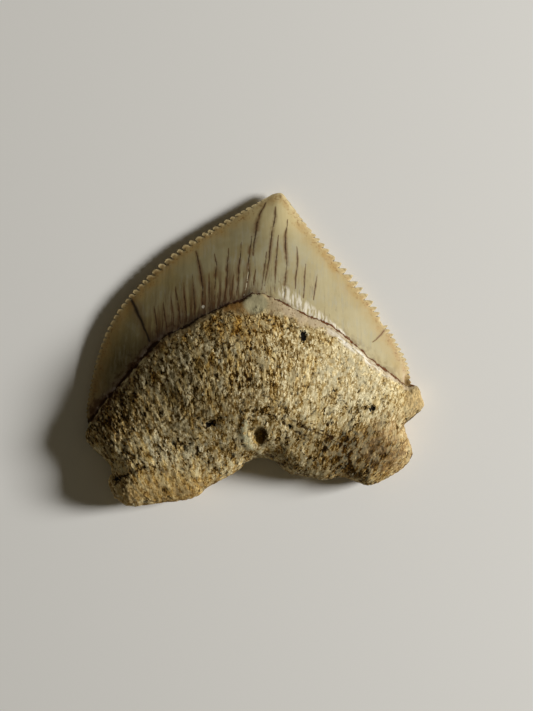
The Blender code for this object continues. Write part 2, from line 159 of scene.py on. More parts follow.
# ---- hollows: x, y, half-width across, half-width along, depth ----
FORAMEN = (0.35, -7.02, 0.54, 0.70, 0.85)
FORAMEN_RIDGE = [(-0.8, -5.7), (-0.95, -6.7), (-0.7, -7.6), (-0.2, -8.2), (0.4, -8.45)]
FORAMEN_RIDGE_HEIGHT = 0.20
FORAMEN_RIDGE_HALF_WIDTH = 0.32
FORAMEN_RIDGE_WANDER = 0.15
FORAMEN_RIDGE_WANDER_SIZE = 0.8
PIT_FLOOR = 0.35
PIT_MOUTH = 1.25
PIT_WANDER = 0.14
PIT_WANDER_SIZE = 0.5
LINGUAL_PITS = [
    (3.93, 1.08, 0.28, 0.42, 0.18), (9.6, -4.8, 0.28, 0.26, 0.18), (2.85, -6.25, 0.24, 0.28, 0.16),
    (-3.6, -6.0, 0.50, 0.30, 0.20), (6.4, -3.3, 0.22, 0.16, 0.12), (-0.3, 0.0, 0.16, 0.20, 0.10),
    (-11.3, -10.6, 0.45, 0.28, 0.18),
]
LABIAL_PITS = [
    (-6.2, -6.2, 0.35, 0.28, 0.35), (-2.4, -5.0, 0.28, 0.30, 0.30),
    (2.6, -5.2, 0.30, 0.26, 0.30), (6.8, -5.6, 0.34, 0.28, 0.35),
]
# Broken rows of pits in the root, each along a crooked line.
FURROWS = [
    [(-11.5, -11.1), (-10.9, -10.5), (-10.2, -10.3), (-9.3, -9.75), (-8.7, -9.5)],
    [(-6.0, -7.8), (-5.2, -7.6), (-4.6, -7.2), (-4.1, -6.5), (-3.6, -6.1), (-2.8, -5.3)],
    [(4.8, -6.5), (5.4, -6.6), (5.8, -6.95), (6.4, -7.2)],
    [(6.4, -3.6), (6.9, -3.7), (7.3, -4.3), (7.8, -4.7)],
    [(1.4, -5.3), (2.2, -5.9), (3.3, -6.6), (4.6, -7.4)],
]
FURROW_HALF_WIDTH = 0.09
FURROW_DEPTH = 0.10
FURROW_WANDER = 0.22
FURROW_WANDER_SIZE = 0.6
FURROW_PIT_SIZE = 0.28
FURROW_PITTED = 0.45
FURROWS_START = 0.8

# ---- fine relief of the root ----
# Of fractal noise: how fast its octaves weaken, how much finer each is, and how many there are.
BONE_FRACTAL = (0.7, 2.1, 3)
LUMP_FRACTAL = (1.0, 2.0, 3)
DENT_FRACTAL = (0.8, 2.1, 3)
DENT_SIZE = 0.5
JAG_FRACTAL = (0.6, 2.2, 4)
JAGS_PER_MM = 1.4
GRAIN_WIDTH = 0.27
GRAIN_LENGTH = 1.0
GRAIN_DEPTH = 0.05
GRAIN_BEND = 0.3
GRAIN_FAN = -0.028
GRAIN_FAN_FROM = 4.0
GRAIN_ENDS_BELOW = 9.5
GRAIN_FADE_STARTS = 0.45 * GRAIN_ENDS_BELOW
LEAST_GRAIN = 0.25
SMOOTH_SIDE_FROM, SMOOTH_SIDE_TO = 2.0, 9.0
GRANULE_SIZE = 0.30
GRANULE_DEPTH = 0.055
PORE_SPACING = 0.75
PORE_STRETCH = 0.5
PORE_RADIUS = 0.32
LEAST_PORE = 0.35
PORE_DEPTH = 0.14
PORE_STEEPNESS = 1.6
COLLAR_SMOOTHNESS = 0.88
COLLAR_WIDTH = 0.45
COLLAR_RAGGEDNESS = 0.45
COLLAR_TEAR_SIZE = 0.9
WIDE_COLLAR = 0.75
WIDE_COLLAR_FROM, WIDE_COLLAR_TO = -2.5, 5.0

# ---- net ----
COLUMNS = 290
ROOT_ROWS = 90
EDGE_ROWS = LEFT_SERRATIONS["count"] * LEFT_SERRATIONS["rows_each"]
CROWDING = 0.10
MOST_TRIANGLES = 192_000


def smooth_curve(points, step=0.05):
    """A Catmull-Rom curve through the points, sampled about every step."""
    points = np.array(points, float)
    before = np.vstack([2 * points[0] - points[1], points[:-1]])
    after = np.vstack([points[1:], 2 * points[-1] - points[-2]])
    slopes = (after - before) / 2
    parts = []
    for i in range(len(points) - 1):
        count = max(2, int(np.hypot(*(points[i + 1] - points[i])) / step))
        t = np.linspace(0, 1, count, endpoint=False)[:, None]
        start = (2 * t**3 - 3 * t**2 + 1) * points[i] + (t**3 - 2 * t**2 + t) * slopes[i]
        end = (3 * t**2 - 2 * t**3) * points[i + 1] + (t**3 - t**2) * slopes[i + 1]
        parts.append(start + end)
    parts.append(points[-1:])
    return np.vstack(parts)


def straight_line(points, step=0.05):
    """The points joined by straight runs, sampled about every step."""
    points = np.array(points, float)
    lengths = lengths_along(points)
    return at_length(points, np.linspace(0, lengths[-1], int(lengths[-1] / step) + 2))


def lengths_along(line):
    steps = np.hypot(*np.diff(line, axis=0).T)
    return np.concatenate([[0], np.cumsum(steps)])


def fractions_along(line):
    lengths = lengths_along(line)
    return lengths / lengths[-1]


def at_length(line, lengths):
    along = lengths_along(line)
    x = np.interp(lengths, along, line[:, 0])
    y = np.interp(lengths, along, line[:, 1])
    return np.stack([x, y], axis=-1)


def nearest_on(line, xy):
    """The number of the point of a finely sampled line nearest to each plan point, and how far."""
    tree = kdtree.KDTree(len(line))
    for number, (x, y) in enumerate(line):
        tree.insert((x, y, 0), number)
    tree.balance()
    found = [tree.find((x, y, 0)) for x, y in xy]
    return np.array([number for _, number, _ in found]), np.array([away for _, _, away in found])


def distance_to(line, xy):
    """Distance from each plan point to a finely sampled line."""
    _, distance = nearest_on(line, xy)
    return distance


def inward_from(line, xy):
    """Distance from each plan point to a line of the outline, or 0 outside the line."""
    number, distance = nearest_on(line, xy)
    inside = np.sum((line[number] - xy) * outward(line)[number], axis=1) > 0
    return distance * inside


def table(pairs, values):
    keys, results = zip(*pairs)
    return np.interp(values, keys, results)


def smoothstep(low, high, values):
    t = np.clip((values - low) / (high - low), 0, 1)
    return t * t * (3 - 2 * t)


def crowded(fractions):
    """Moves fractions of 0 to 1 towards both ends, where the surface turns over the edge."""
    return fractions - CROWDING * np.sin(2 * np.pi * fractions)


def serrated_side(edge_line, serrations):
    """Row points from the heel to the apex, how far each is pushed out, its place and notch."""
    total = lengths_along(edge_line)[-1]
    fine = np.linspace(0, total, 2000)
    counted = np.cumsum(np.diff(fine) / table(serrations["pitches"], fine[1:]))
    counted = np.concatenate([[0], counted]) * serrations["count"] / counted[-1]
    starts = np.arange(serrations["count"] + 2.0)
    shifts = [noise.noise(Vector((2.3 * start, 9.5, total))) for start in starts[1:-2]]
    starts[1:-2] += SERRATION_SHIFT * np.array(shifts)
    rows = np.arange(EDGE_ROWS, -1, -1)
    part = rows % serrations["rows_each"] / serrations["rows_each"]
    phase = np.interp(part, [0, 0.5, 1], [0, SERRATION_TIP_AT, 1])
    number = rows // serrations["rows_each"]
    along = np.interp(starts[number] + phase * (starts[number + 1] - starts[number]), counted, fine)
    profile = 1 - np.abs(2 * part - 1) ** serrations["roundness"]
    uneven = np.array([noise.noise(Vector((1.7 * n, total, 0.5))) for n in number])
    height = table(serrations["heights"], along) * (1 + SERRATION_UNEVENNESS * uneven)
    return at_length(edge_line, along), (profile - 0.5) * height, along, 1 - profile


def outward(points):
    """Unit normals of a row of points, on the side away from the middle of the tooth."""
    tangent = np.gradient(points, axis=0)
    normal = np.stack([tangent[:, 1], -tangent[:, 0]], axis=-1)
    normal /= np.maximum(np.hypot(*normal.T), 1e-9)[:, None]
    return normal * np.sign(np.sum(normal * points, axis=1))[:, None]


class Plan:
    """The tooth's flat outline, and the net of rows and columns laid over it."""

    def __init__(self):
        self.left_edge = smooth_curve(LEFT_CUTTING_EDGE)
        self.right_edge = smooth_curve(RIGHT_CUTTING_EDGE)
        self.apex = smooth_curve(APEX_TIP)
        self.left_side = self.worn(smooth_curve(LEFT_ROOT_SIDE))
        self.right_side = self.worn(smooth_curve(RIGHT_ROOT_SIDE))
        self.base = self.worn(smooth_curve(ROOT_BASE))
        self.crown_base = smooth_curve(CROWN_BASE)
        self.labial_base = smooth_curve(LABIAL_CROWN_BASE)

    def worn(self, line):
        """The line with small dents, none of them at its ends."""
        fractions = fractions_along(line)
        dents = [noise.fractal(Vector((x, y, 5.0)) / DENT_SIZE, *DENT_FRACTAL) for x, y in line]
        shift = ROOT_EDGE_JITTER * np.array(dents) * np.sin(np.pi * fractions) ** 0.3
        return line + outward(line) * shift[:, None]

    def side(self, root_side, edge_line, serrations):
        """One side of the net, from the lobe's corner to the apex."""
        root_line = root_side[::-1]
        fractions = np.linspace(0, 1, ROOT_ROWS, endpoint=False)
        root_points = at_length(root_line, crowded(fractions) * lengths_along(root_line)[-1])
        edge_points, push, along, notch = serrated_side(edge_line, serrations)
        points = np.vstack([root_points, edge_points])
        push = np.concatenate([np.zeros(ROOT_ROWS), push])
        along = np.concatenate([np.full(ROOT_ROWS, np.inf), along])
        notch = np.concatenate([np.zeros(ROOT_ROWS), notch])
        return points, push, along, notch

    def net(self):
        """Plan positions of all rows and columns, and how near each is to a serration's notch."""
        left, left_push, _, left_notch = self.side(self.left_side, self.left_edge, LEFT_SERRATIONS)
        right, right_push, along, right_notch = self.side(
            self.right_side, self.right_edge, RIGHT_SERRATIONS
        )
        chipped = 1 - smoothstep(0.6, 1.0, np.abs(along - CHIP_AT) / CHIP_HALF_LENGTH)
        right_push = right_push * (1 - chipped) - CHIP_DEPTH * chipped

        u = crowded(np.linspace(0, 1, COLUMNS + 1))
        v = ((fractions_along(left) + fractions_along(right)) / 2)[:, None, None]
        base = at_length(self.base, u * lengths_along(self.base)[-1])[None]
        apex = at_length(self.apex, u * lengths_along(self.apex)[-1])[None]
        u = u[None, :, None]
        sides = (1 - u) * left[:, None] + u * right[:, None]
        low_corners = (1 - u) * left[0] + u * right[0]
        high_corners = (1 - u) * left[-1] + u * right[-1]
        net = sides + (1 - v) * (base - low_corners) + v * (apex - high_corners)

        smooth_net = net.copy()
        notch = np.zeros(net.shape[:2])
        both = ((left, left_push, left_notch), (right, right_push, right_notch))
        for points, push, notches in both:
            away = np.hypot(*np.moveaxis(smooth_net - points[:, None], -1, 0))
            fade = np.exp(-((away / SERRATION_FADE) ** SERRATION_FADE_POWER))
            net += (outward(points) * push[:, None])[:, None] * fade[..., None]
            notch = np.maximum(notch, notches[:, None] ** 3 * np.exp(-((away / NOTCH_REACH) ** 2)))
        return net, notch

    def above(self, line, xy):
        """Signed distance above a crown base line, with the line's bends lost further from it."""
        jitter = [noise.fractal(Vector((x * JAGS_PER_MM, 3.7, 0)), *JAG_FRACTAL) for x in line[:, 0]]
        jagged = line[:, 1] + BASE_LINE_JITTER * np.array(jitter)
        shifts = np.linspace(-BASE_LINE_BLEND, BASE_LINE_BLEND, 25)
        straight = np.mean([np.interp(line[:, 0] + shift, *line.T) for shift in shifts], axis=0)
        slope = np.interp(xy[:, 0], line[:, 0], np.gradient(straight, line[:, 0]))
        near = xy[:, 1] - np.interp(xy[:, 0], line[:, 0], jagged)
        far = xy[:, 1] - np.interp(xy[:, 0], line[:, 0], straight)
        rise = far + (near - far) * np.exp(-((near / BASE_LINE_REACH) ** 2))
        return rise / np.sqrt(1 + slope**2)


# ---- surfaces ----
def hollow(xy, pit):
    """A smooth round-bottomed pit: 1 at its middle, 0 outside it."""
    x, y, half_x, half_y, _ = pit
    away = np.hypot((xy[:, 0] - x) / half_x, (xy[:, 1] - y) / half_y)
    return 1 - smoothstep(PIT_FLOOR, PIT_MOUTH, away)


def lumps(xy, size, seed):
    """Smooth unevenness between about -1 and 1, with bumps of the given size."""
    return np.array([noise.fractal(Vector((x / size, y / size, seed)), *LUMP_FRACTAL) for x, y in xy])


def wandering(xy, size, reach):
    """The plan points, each moved a little, so that a line drawn through them looks crooked."""
    shifts = [lumps(xy, size, seed=21.0), lumps(xy, size, seed=27.0)]
    return xy + reach * np.stack(shifts, axis=-1)


def crown_top(to_left, to_right, above_base):
    """Lingual face of the crown: domed between its cutting edges, turned up at the root."""
    left = to_left / CROWN_LEFT_REACH
    right = to_right / CROWN_RIGHT_REACH
    inside = left * right / np.maximum(np.hypot(left, right), 1e-6)
    fillet = CROWN_FILLET * np.exp(-np.maximum(above_base, 0) / CROWN_FILLET_REACH)
    fillet *= smoothstep(0, CROWN_FILLET_STARTS, np.minimum(to_left, to_right))
    return CUTTING_EDGE_HEIGHT + CUTTING_EDGE_HALF_THICKNESS + CROWN_RISE * inside + fillet


def root_top(xy, rim):
    """Lingual face of the root: a bulge under the crown, falling to two lobes."""
    x, y = xy.T
    across = (x - ROOT_BULGE_AT[0]) / ROOT_BULGE_HALF_WIDTH
    lengthways = y - ROOT_BULGE_AT[1]
    reach = np.where(lengthways > 0, ROOT_BULGE_REACH_UP, ROOT_BULGE_REACH_DOWN)
    dome = ROOT_LOBE_HEIGHT + ROOT_BULGE * np.exp(-(across**2) - (lengthways / reach) ** 2)
    dome += ROOT_LUMP_DEPTH * lumps(xy, ROOT_LUMP_SIZE, seed=3.0)
    turned = np.clip(1 - rim / ROOT_TOP_ROUNDING, 0, 1)
    lowest = ROOT_SIDE_HEIGHT + ROOT_SIDE_HALF_THICKNESS
    return lowest + (dome - lowest) * np.sqrt(1 - turned**ROOT_ROUNDING_POWER)


class Surface:
    """Heights of both faces over the plan points, and what the finish needs to know there."""

    def __init__(self, plan, net):
        self.plan = plan
        self.xy = net.reshape(-1, 2)
        border = np.zeros(net.shape[:2], bool)
        border[[0, -1]] = True
        border[:, [0, -1]] = True
        self.border = border.ravel()
        outline = np.vstack([net[0], net[:, -1], net[-1, ::-1], net[::-1, 0]])
        from_notch = np.hypot(*(outline - RIGHT_CUTTING_EDGE[-1]).T)
        self.rim = distance_to(outline[from_notch > NOTCH_BRIDGED], self.xy)
        middle = len(plan.apex) // 2
        self.left_line = np.vstack([plan.apex[middle::-1], plan.left_edge[1:]])
        self.right_line = np.vstack([plan.apex[middle:], plan.right_edge[1:]])
        self.to_left = inward_from(self.left_line, self.xy)
        self.to_right = inward_from(self.right_line, self.xy)
        self.above_base = plan.above(plan.crown_base, self.xy)
        self.above_labial = plan.above(plan.labial_base, self.xy)
        furrows = np.vstack([straight_line(points) for points in FURROWS])
        away = distance_to(furrows, wandering(self.xy, FURROW_WANDER_SIZE, FURROW_WANDER))
        pitted = FURROW_PITTED + lumps(self.xy, FURROW_PIT_SIZE, seed=33.0)
        self.furrow = np.exp(-((away / FURROW_HALF_WIDTH) ** 2)) * np.clip(pitted, 0, 1)

    def sides(self):
        """Lower and upper edge of the narrow band around the outline."""
        in_root = smoothstep(*SIDE_BLEND, self.above_base)
        middle = CUTTING_EDGE_HEIGHT + (ROOT_SIDE_HEIGHT - CUTTING_EDGE_HEIGHT) * in_root
        half = CUTTING_EDGE_HALF_THICKNESS
        half += (ROOT_SIDE_HALF_THICKNESS - CUTTING_EDGE_HALF_THICKNESS) * in_root
        return middle - half, middle + half

    def lingual(self):
        """The upper face: crown, ledge and root, with the root's pits."""
        x = self.xy[:, 0]
        _, side = self.sides()
        crown = crown_top(self.to_left, self.to_right, self.above_base)
        crown = side + (crown - side) * (1 - np.exp(-self.rim / BEVEL_OF_EDGE))
        line = self.plan.crown_base[::4]
        on_line = crown_top(distance_to(self.left_line, line), distance_to(self.right_line, line), 0)
        ledge = np.interp(np.clip(x, *LEDGE_ENDS), line[:, 0], on_line)
        from_notch = np.hypot(*(self.xy - RIGHT_CUTTING_EDGE[-1]).T)
        crown += (ledge - crown) * np.exp(-((from_notch / NOTCH_JOIN) ** 2))
        below = np.maximum(-self.above_base, 0)
        climb = 1 - np.exp(-below / LEDGE_CLIMB)
        lip = LEDGE_LIP * smoothstep(0, LEDGE_LIP_WIDTH, below) * smoothstep(0, LEDGE_STARTS, self.rim)
        root = ledge + lip + (root_top(self.xy, self.rim) - ledge - lip) * climb
        heights = np.where(self.above_base > 0, crown, root)

        for pit in LINGUAL_PITS + [FORAMEN]:
            heights -= pit[4] * hollow(wandering(self.xy, PIT_WANDER_SIZE, PIT_WANDER), pit)
        bent = wandering(self.xy, FORAMEN_RIDGE_WANDER_SIZE, FORAMEN_RIDGE_WANDER)
        ridge = distance_to(smooth_curve(FORAMEN_RIDGE), bent)
        heights += FORAMEN_RIDGE_HEIGHT * np.exp(-((ridge / FORAMEN_RIDGE_HALF_WIDTH) ** 2))
        heights -= FURROW_DEPTH * self.furrow * smoothstep(0, FURROWS_START, self.rim)
        heights = np.maximum(heights, side)
        heights[self.border] = side[self.border]
        return heights

    def labial(self):
        """The lower face: flat where the tooth lies, rising to every edge."""
        side, _ = self.sides()
        in_root = smoothstep(*UNDER_BLEND, self.above_base)
        rise = CUTTING_EDGE_HEIGHT - CUTTING_EDGE_HALF_THICKNESS
        crown = rise * np.clip(1 - self.rim / UNDER_CROWN_REACH, 0, 1) ** UNDER_CROWN_HOLLOWING
        turned = np.clip(1 - self.rim / ROOT_UNDER_ROUNDING, 0, 1)
        root_rise = ROOT_SIDE_HEIGHT - ROOT_SIDE_HALF_THICKNESS
        root = root_rise * (1 - np.sqrt(1 - turned**ROOT_ROUNDING_POWER))
        root += ROOT_LUMP_DEPTH * np.maximum(lumps(self.xy, UNDER_LUMP_SIZE, seed=9.0), 0)
        heights = crown + (root - crown) * in_root
        groove = UNDER_GROOVE_DEPTH * np.exp(-((self.above_labial / UNDER_GROOVE_HALF_WIDTH) ** 2))
        heights += groove * smoothstep(0, UNDER_GROOVE_STARTS, self.rim)
        for pit in LABIAL_PITS:
            heights += pit[4] * hollow(self.xy, pit)
        heights = np.clip(heights, 0, side)
        heights[self.border] = side[self.border]
        return heights


def collar_at(xy, below):
    """1 in the smooth, ragged band of root under the crown, 0 on open bone."""
    middle = (WIDE_COLLAR_FROM + WIDE_COLLAR_TO) / 2
    half = (WIDE_COLLAR_TO - WIDE_COLLAR_FROM) / 2
    wide = 1 - smoothstep(0.6, 1.2, np.abs(xy[:, 0] - middle) / half)
    width = COLLAR_WIDTH + WIDE_COLLAR * wide
    ragged = below + COLLAR_RAGGEDNESS * lumps(xy, COLLAR_TEAR_SIZE, seed=41.0)
    return 1 - smoothstep(0.5 * width, width, ragged)


def bone_relief(places, below, collar):
    """Height of the root's fine relief: ridges along the grain, with granules and pores lower."""
    relief = np.zeros(len(places))
    streaky = 1 - smoothstep(GRAIN_FADE_STARTS, GRAIN_ENDS_BELOW, below)
    faded = smoothstep(SMOOTH_SIDE_TO, SMOOTH_SIDE_FROM, places[:, 0])
    for i, (x, y, z) in enumerate(places):
        across = x / (1 + GRAIN_FAN * (GRAIN_FAN_FROM - y))
        spot = Vector((across / GRAIN_WIDTH, y / GRAIN_LENGTH, z * 0.7))
        spot.x += GRAIN_BEND * noise.noise(Vector((x, y, z)) * 1.1) / GRAIN_WIDTH
        grain = noise.fractal(spot, *BONE_FRACTAL)
        grain *= LEAST_GRAIN + (1 - LEAST_GRAIN) * streaky[i] * faded[i]
        granule = noise.fractal(Vector((x, y, z + 40)) / GRANULE_SIZE, *BONE_FRACTAL)
        stretch = 1 - PORE_STRETCH * streaky[i]
        near, centres = noise.voronoi(Vector((across, y * stretch, z)) / PORE_SPACING)
        size = PORE_RADIUS * (LEAST_PORE + (1 - LEAST_PORE) * noise.noise(centres[0] * 3.1))
        pore = max(0.0, 1 - near[0] / max(size, 0.05))
        relief[i] = GRAIN_DEPTH * grain + GRANULE_DEPTH * granule
        relief[i] -= PORE_DEPTH * min(1, PORE_STEEPNESS * pore)
    return relief * (1 - COLLAR_SMOOTHNESS * collar)


# ---- the piece ----
def slab(name):
    """A flat grid pulled up into a closed slab, in units of the grid."""
    bpy.ops.object.select_all(action="DESELECT")
    bpy.ops.mesh.primitive_grid_add(x_subdivisions=COLUMNS, y_subdivisions=ROOT_ROWS + EDGE_ROWS, size=1)
    tooth = bpy.context.active_object
    tooth.name = name
    tooth.data.name = name
    bpy.ops.object.mode_set(mode="EDIT")
    bpy.ops.mesh.select_all(action="SELECT")
    bpy.ops.mesh.extrude_region_move(TRANSFORM_OT_translate={"value": (0, 0, 1)})
    bpy.ops.mesh.select_all(action="SELECT")
    bpy.ops.mesh.normals_make_consistent(inside=False)
    bpy.ops.object.mode_set(mode="OBJECT")
    return tooth


def read(mesh, name, width):
    values = np.empty(len(mesh.vertices) * width, np.float32)
    mesh.vertices.foreach_get(name, values)
    return values.reshape(-1, width).astype(float)


def place(mesh, places):
    mesh.vertices.foreach_set("co", (places * METRES).astype(np.float32).ravel())
    mesh.update()


def note(mesh, name, values):
    """Stores a number for each point, which the finish reads."""
    layer = mesh.attributes.new(name, "FLOAT", "POINT")
    layer.data.foreach_set("value", values.astype(np.float32))


def model_tooth():
    tooth = slab("fossil_tooth")
    mesh = tooth.data
    grid = read(mesh, "co", 3)
    column = np.rint((grid[:, 0] + 0.5) * COLUMNS).astype(int)
    row = np.rint((grid[:, 1] + 0.5) * (ROOT_ROWS + EDGE_ROWS)).astype(int)
    upper = grid[:, 2] > 0.5

    plan = Plan()
    net, notch = plan.net()
    surface = Surface(plan, net)
    spot = row * (COLUMNS + 1) + column
    heights = np.where(upper, surface.lingual()[spot], surface.labial()[spot])
    places = np.column_stack([surface.xy[spot], heights])
    place(mesh, places)

    above = np.where(upper, surface.above_base[spot], surface.above_labial[spot])
    in_root = smoothstep(*BONE_BLEND, surface.above_base[spot])
    lying = ~upper & (heights < RESTING_BELOW)
    rough = np.where(lying, 0, in_root) > 0
    collar = collar_at(surface.xy, -surface.above_base)[spot]
    relief = np.zeros(len(places))
    relief[rough] = bone_relief(places[rough], -above[rough], collar[rough])
    relief *= in_root
    places += read(mesh, "normal", 3) * relief[:, None]
    places[:, 2] = np.maximum(places[:, 2], 0)

    lowest = places.min(axis=0)
    highest = places.max(axis=0)
    middle = (lowest + highest)[:2] / 2
    places[:, :2] = (places[:, :2] - middle) * (TOOTH_WIDTH, TOOTH_LENGTH) / (highest - lowest)[:2]
    place(mesh, places)

    note(mesh, "above_base", above)
    note(mesh, "from_edge", np.minimum(surface.to_left, surface.to_right)[spot])
    note(mesh, "rim", surface.rim[spot])
    note(mesh, "notch", notch.ravel()[spot])
    note(mesh, "furrow", surface.furrow[spot] * upper)
    note(mesh, "collar", collar * upper)

    fewer = tooth.modifiers.new("fewer faces", "DECIMATE")
    fewer.ratio = MOST_TRIANGLES / (2 * len(mesh.polygons))
    bpy.context.view_layer.objects.active = tooth
    bpy.ops.object.modifier_apply(modifier=fewer.name)
    mesh.shade_smooth()
    return tooth


# ---- finishes ----
# Hairline drying cracks of the enameloid, filled with dark mineral. Each runs from the apex side
# down to the root through points of x, y and its half-width there.
STREAKS = [
    [(0.94, 12.18, 0.02), (0.41, 11.13, 0.05), (0.2, 10.39, 0.075), (0.08, 9.61, 0.07),
     (-0.07, 8.8, 0.06), (-0.12, 7.75, 0.02)],
    [(-0.27, 9.33, 0.02), (-0.33, 8.53, 0.045), (-0.5, 7.48, 0.045), (-0.46, 6.16, 0.05),
     (-0.91, 4.14, 0.04)],
    [(1.73, 11.76, 0.02), (1.68, 10.94, 0.05), (1.41, 9.61, 0.05), (1.31, 8.62, 0.055),
     (1.2, 7.48, 0.045), (0.8, 5.2, 0.015)],
    [(1.99, 9.45, 0.01), (1.8, 7.6, 0.035), (1.66, 5.4, 0.015)],
    [(2.73, 10.77, 0.01), (2.54, 9.28, 0.045), (2.61, 6.98, 0.05), (2.39, 4.1, 0.04)],
    [(3.47, 8.53, 0.01), (3.53, 7.46, 0.035), (3.35, 5.0, 0.015)],
    [(4.2, 7.04, 0.01), (4.1, 6.0, 0.03), (4.02, 4.2, 0.02)],
    [(5.14, 6.17, 0.01), (5.0, 5.2, 0.03), (4.83, 4.1, 0.015)],
    [(1.0, 8.0, 0.01), (0.85, 6.9, 0.03), (0.55, 4.9, 0.015)],
    [(-1.12, 8.86, 0.01), (-1.18, 7.75, 0.045), (-1.38, 5.22, 0.03), (-1.5, 4.4, 0.015)],
    [(-2.13, 8.33, 0.01), (-2.24, 7.21, 0.045), (-2.26, 5.39, 0.045), (-2.5, 3.9, 0.02)],
    [(-3.31, 7.9, 0.01), (-3.15, 6.96, 0.045), (-3.23, 5.84, 0.045), (-3.31, 3.6, 0.025)],
    [(-4.87, 8.12, 0.03), (-4.47, 6.65, 0.055), (-4.28, 5.29, 0.06), (-4.23, 3.73, 0.04)],
    [(-5.16, 6.2, 0.01), (-5.0, 4.8, 0.045), (-4.89, 2.9, 0.03)],
    [(-5.84, 5.5, 0.01), (-5.7, 4.0, 0.045), (-5.55, 2.3, 0.03)],
    [(-6.55, 5.2, 0.01), (-6.3, 3.8, 0.045), (-6.05, 2.1, 0.03)],
    [(-6.92, 4.3, 0.01), (-6.75, 3.3, 0.035), (-6.6, 1.9, 0.02)],
    [(-7.54, 3.9, 0.01), (-7.4, 2.9, 0.04), (-7.15, 1.5, 0.025)],
    [(-8.29, 3.56, 0.01), (-8.1, 2.4, 0.04), (-7.95, 1.1, 0.03)],
    [(-2.8, 5.6, 0.01), (-2.8, 4.6, 0.035), (-2.9, 3.6, 0.015)],
    [(-3.75, 6.3, 0.01), (-3.7, 5.0, 0.035), (-3.75, 3.4, 0.015)],
    [(-1.7, 6.1, 0.01), (-1.8, 5.2, 0.035), (-1.95, 4.1, 0.015)],
    [(0.1, 6.6, 0.01), (0.0, 5.9, 0.03), (-0.1, 5.0, 0.01)],
]
# Pale bone beside the canal's mouth.
CANAL_RIDGE = [[(-0.75, -5.9, 0.15), (-0.85, -6.9, 0.28), (-0.5, -7.8, 0.2), (0.0, -8.2, 0.05)]]
# Fine cracks in the bone.
BONE_CRACKS = [
    [(2.3, -5.2, 0.04), (3.6, -6.0, 0.07), (4.9, -6.7, 0.09), (6.4, -7.3, 0.08), (7.1, -7.8, 0.03)],
    [(5.9, -3.7, 0.03), (7.0, -4.2, 0.06), (7.9, -5.2, 0.04)],
    [(-0.4, -3.5, 0.04), (1.2, -3.8, 0.06)],
]
# Fractures of the enameloid, each from a cutting edge inwards.
FRACTURES = [
    [(-10.25, 4.15, 0.12), (-9.85, 3.4, 0.18), (-9.5, 2.6, 0.16), (-9.1, 1.75, 0.12), (-8.6, 0.7, 0.09)],
    [(10.8, 1.6, 0.04), (10.4, 1.2, 0.035), (9.75, 0.6, 0.015)],
]
# A painted highlight: the pale lit edge of an open crack that runs down to the root beside the dark ones.
CRACK_EDGE_HIGHLIGHT = [[(-0.5, 6.9, 0.01), (-0.62, 5.5, 0.045), (-0.85, 4.4, 0.04)]]
# Black mineral specks in the root: middle, half-width across and along.
SPECKS = [
    (3.93, 1.08, 0.26, 0.50), (9.6, -4.8, 0.24, 0.24), (6.4, -3.3, 0.16, 0.12),
    (2.85, -6.25, 0.14, 0.22), (-0.3, 0.0, 0.10, 0.16), (-3.6, -6.05, 0.36, 0.18),
    (-11.3, -10.6, 0.25, 0.14),
]
# A lobe of bare enameloid that laps over the middle of the root.
ENAMEL_LAP = (0.1, 3.75, 1.0, 0.85)
# How far noise moves the places that the patterns start from, and how often it turns, per mm.
BEND, BENDS_PER_MM = (0.22, 0.2, 0), 1.1
RAGGED, VERY_RAGGED, CRUMBS_PER_MM = 0.34, 0.75, 5.0
# Features per mm, across and along the tooth, of the enameloid's drawn-out patterns.
HAIRLINE_TURNS = (2.2, 0.16, 1)
FLUTE_TURNS = (4.2, 0.9, 1)
SWELL_TURNS = (1.8, 0.2, 1)
# Grain of the bare root. A squeeze of 0.25 draws a pattern out to four times its length.
FLAKE_SIZE = 0.24
SPECKLE_SIZE = 0.17
DRAWN_SPECKLE_SIZE = 0.14
PIT_SIZE = 0.33
PIT_CLUSTER_SIZE = 1.5
CLOUD_SIZE = 0.9
DRAWN_CLOUD_SIZE = 0.45
SPECKLE_SQUEEZE = 0.8
FLAKE_SQUEEZE = 0.5
DRAWN_SQUEEZE = 0.25
FLAKE_SHARE = 0.2
# Tone of the bone, from 0 for the darkest to 1, and what changes it.
MIDDLE_TONE = 0.525
SMOOTH_FLAKES_LIGHTER = 0.05
PITS_DARKER = 0.32
# Colours of the bone: the tone at which each begins to show, and at which it covers.
MIDDLE_BONE = "a68e5d"
BONE_COLOURS = [
    ("7e6332", 0.50, 0.43),
    ("48320a", 0.43, 0.31),
    ("241704", 0.31, 0.20),
    ("c2ad7e", 0.50, 0.57),
    ("f2e4ba", 0.57, 0.69),
]
# Lighter and darker areas of the root: middle, half-widths, and how much lighter.
SHADES = [
    (8.6, -2.4, 4.6, 3.4, 0.08),
    (12.6, -7.8, 0.9, 3.0, 0.02),
    (5.0, -7.4, 5.0, 1.8, -0.02),
    (8.3, -8.4, 3.1, 1.7, -0.16),
    (-11.5, -5.2, 2.6, 3.0, -0.08),
    (-4.0, -5.0, 2.6, 1.6, -0.04),
    (-7.0, -1.2, 5.0, 4.0, 0.11),
    (-8.6, -10.0, 4.6, 3.0, 0.08),
    (-0.5, 1.5, 3.0, 2.0, 0.03),
]
# Rust-stained bone: middle and half-widths.
RUSTY = [
    (-1.6, 1.8, 3.2, 1.3),
    (-6.4, -11.4, 5.4, 1.9),
    (9.6, -9.0, 3.8, 2.6),
    (13.4, -4.6, 1.5, 1.8),
]
# A painted highlight, white, in the hollow low on the crown where it meets the root: x, y and half-width.
FOOT_HIGHLIGHT = [
    [(2.4, 4.7, 0.5), (3.4, 3.95, 0.55), (4.4, 3.25, 0.48), (5.4, 2.65, 0.34), (6.5, 1.95, 0.2),
     (7.4, 1.2, 0.1)],
]
# Widths of the borders of ovals, as shares of their half-widths.
SOFT = 0.35
VERY_SOFT = 0.6


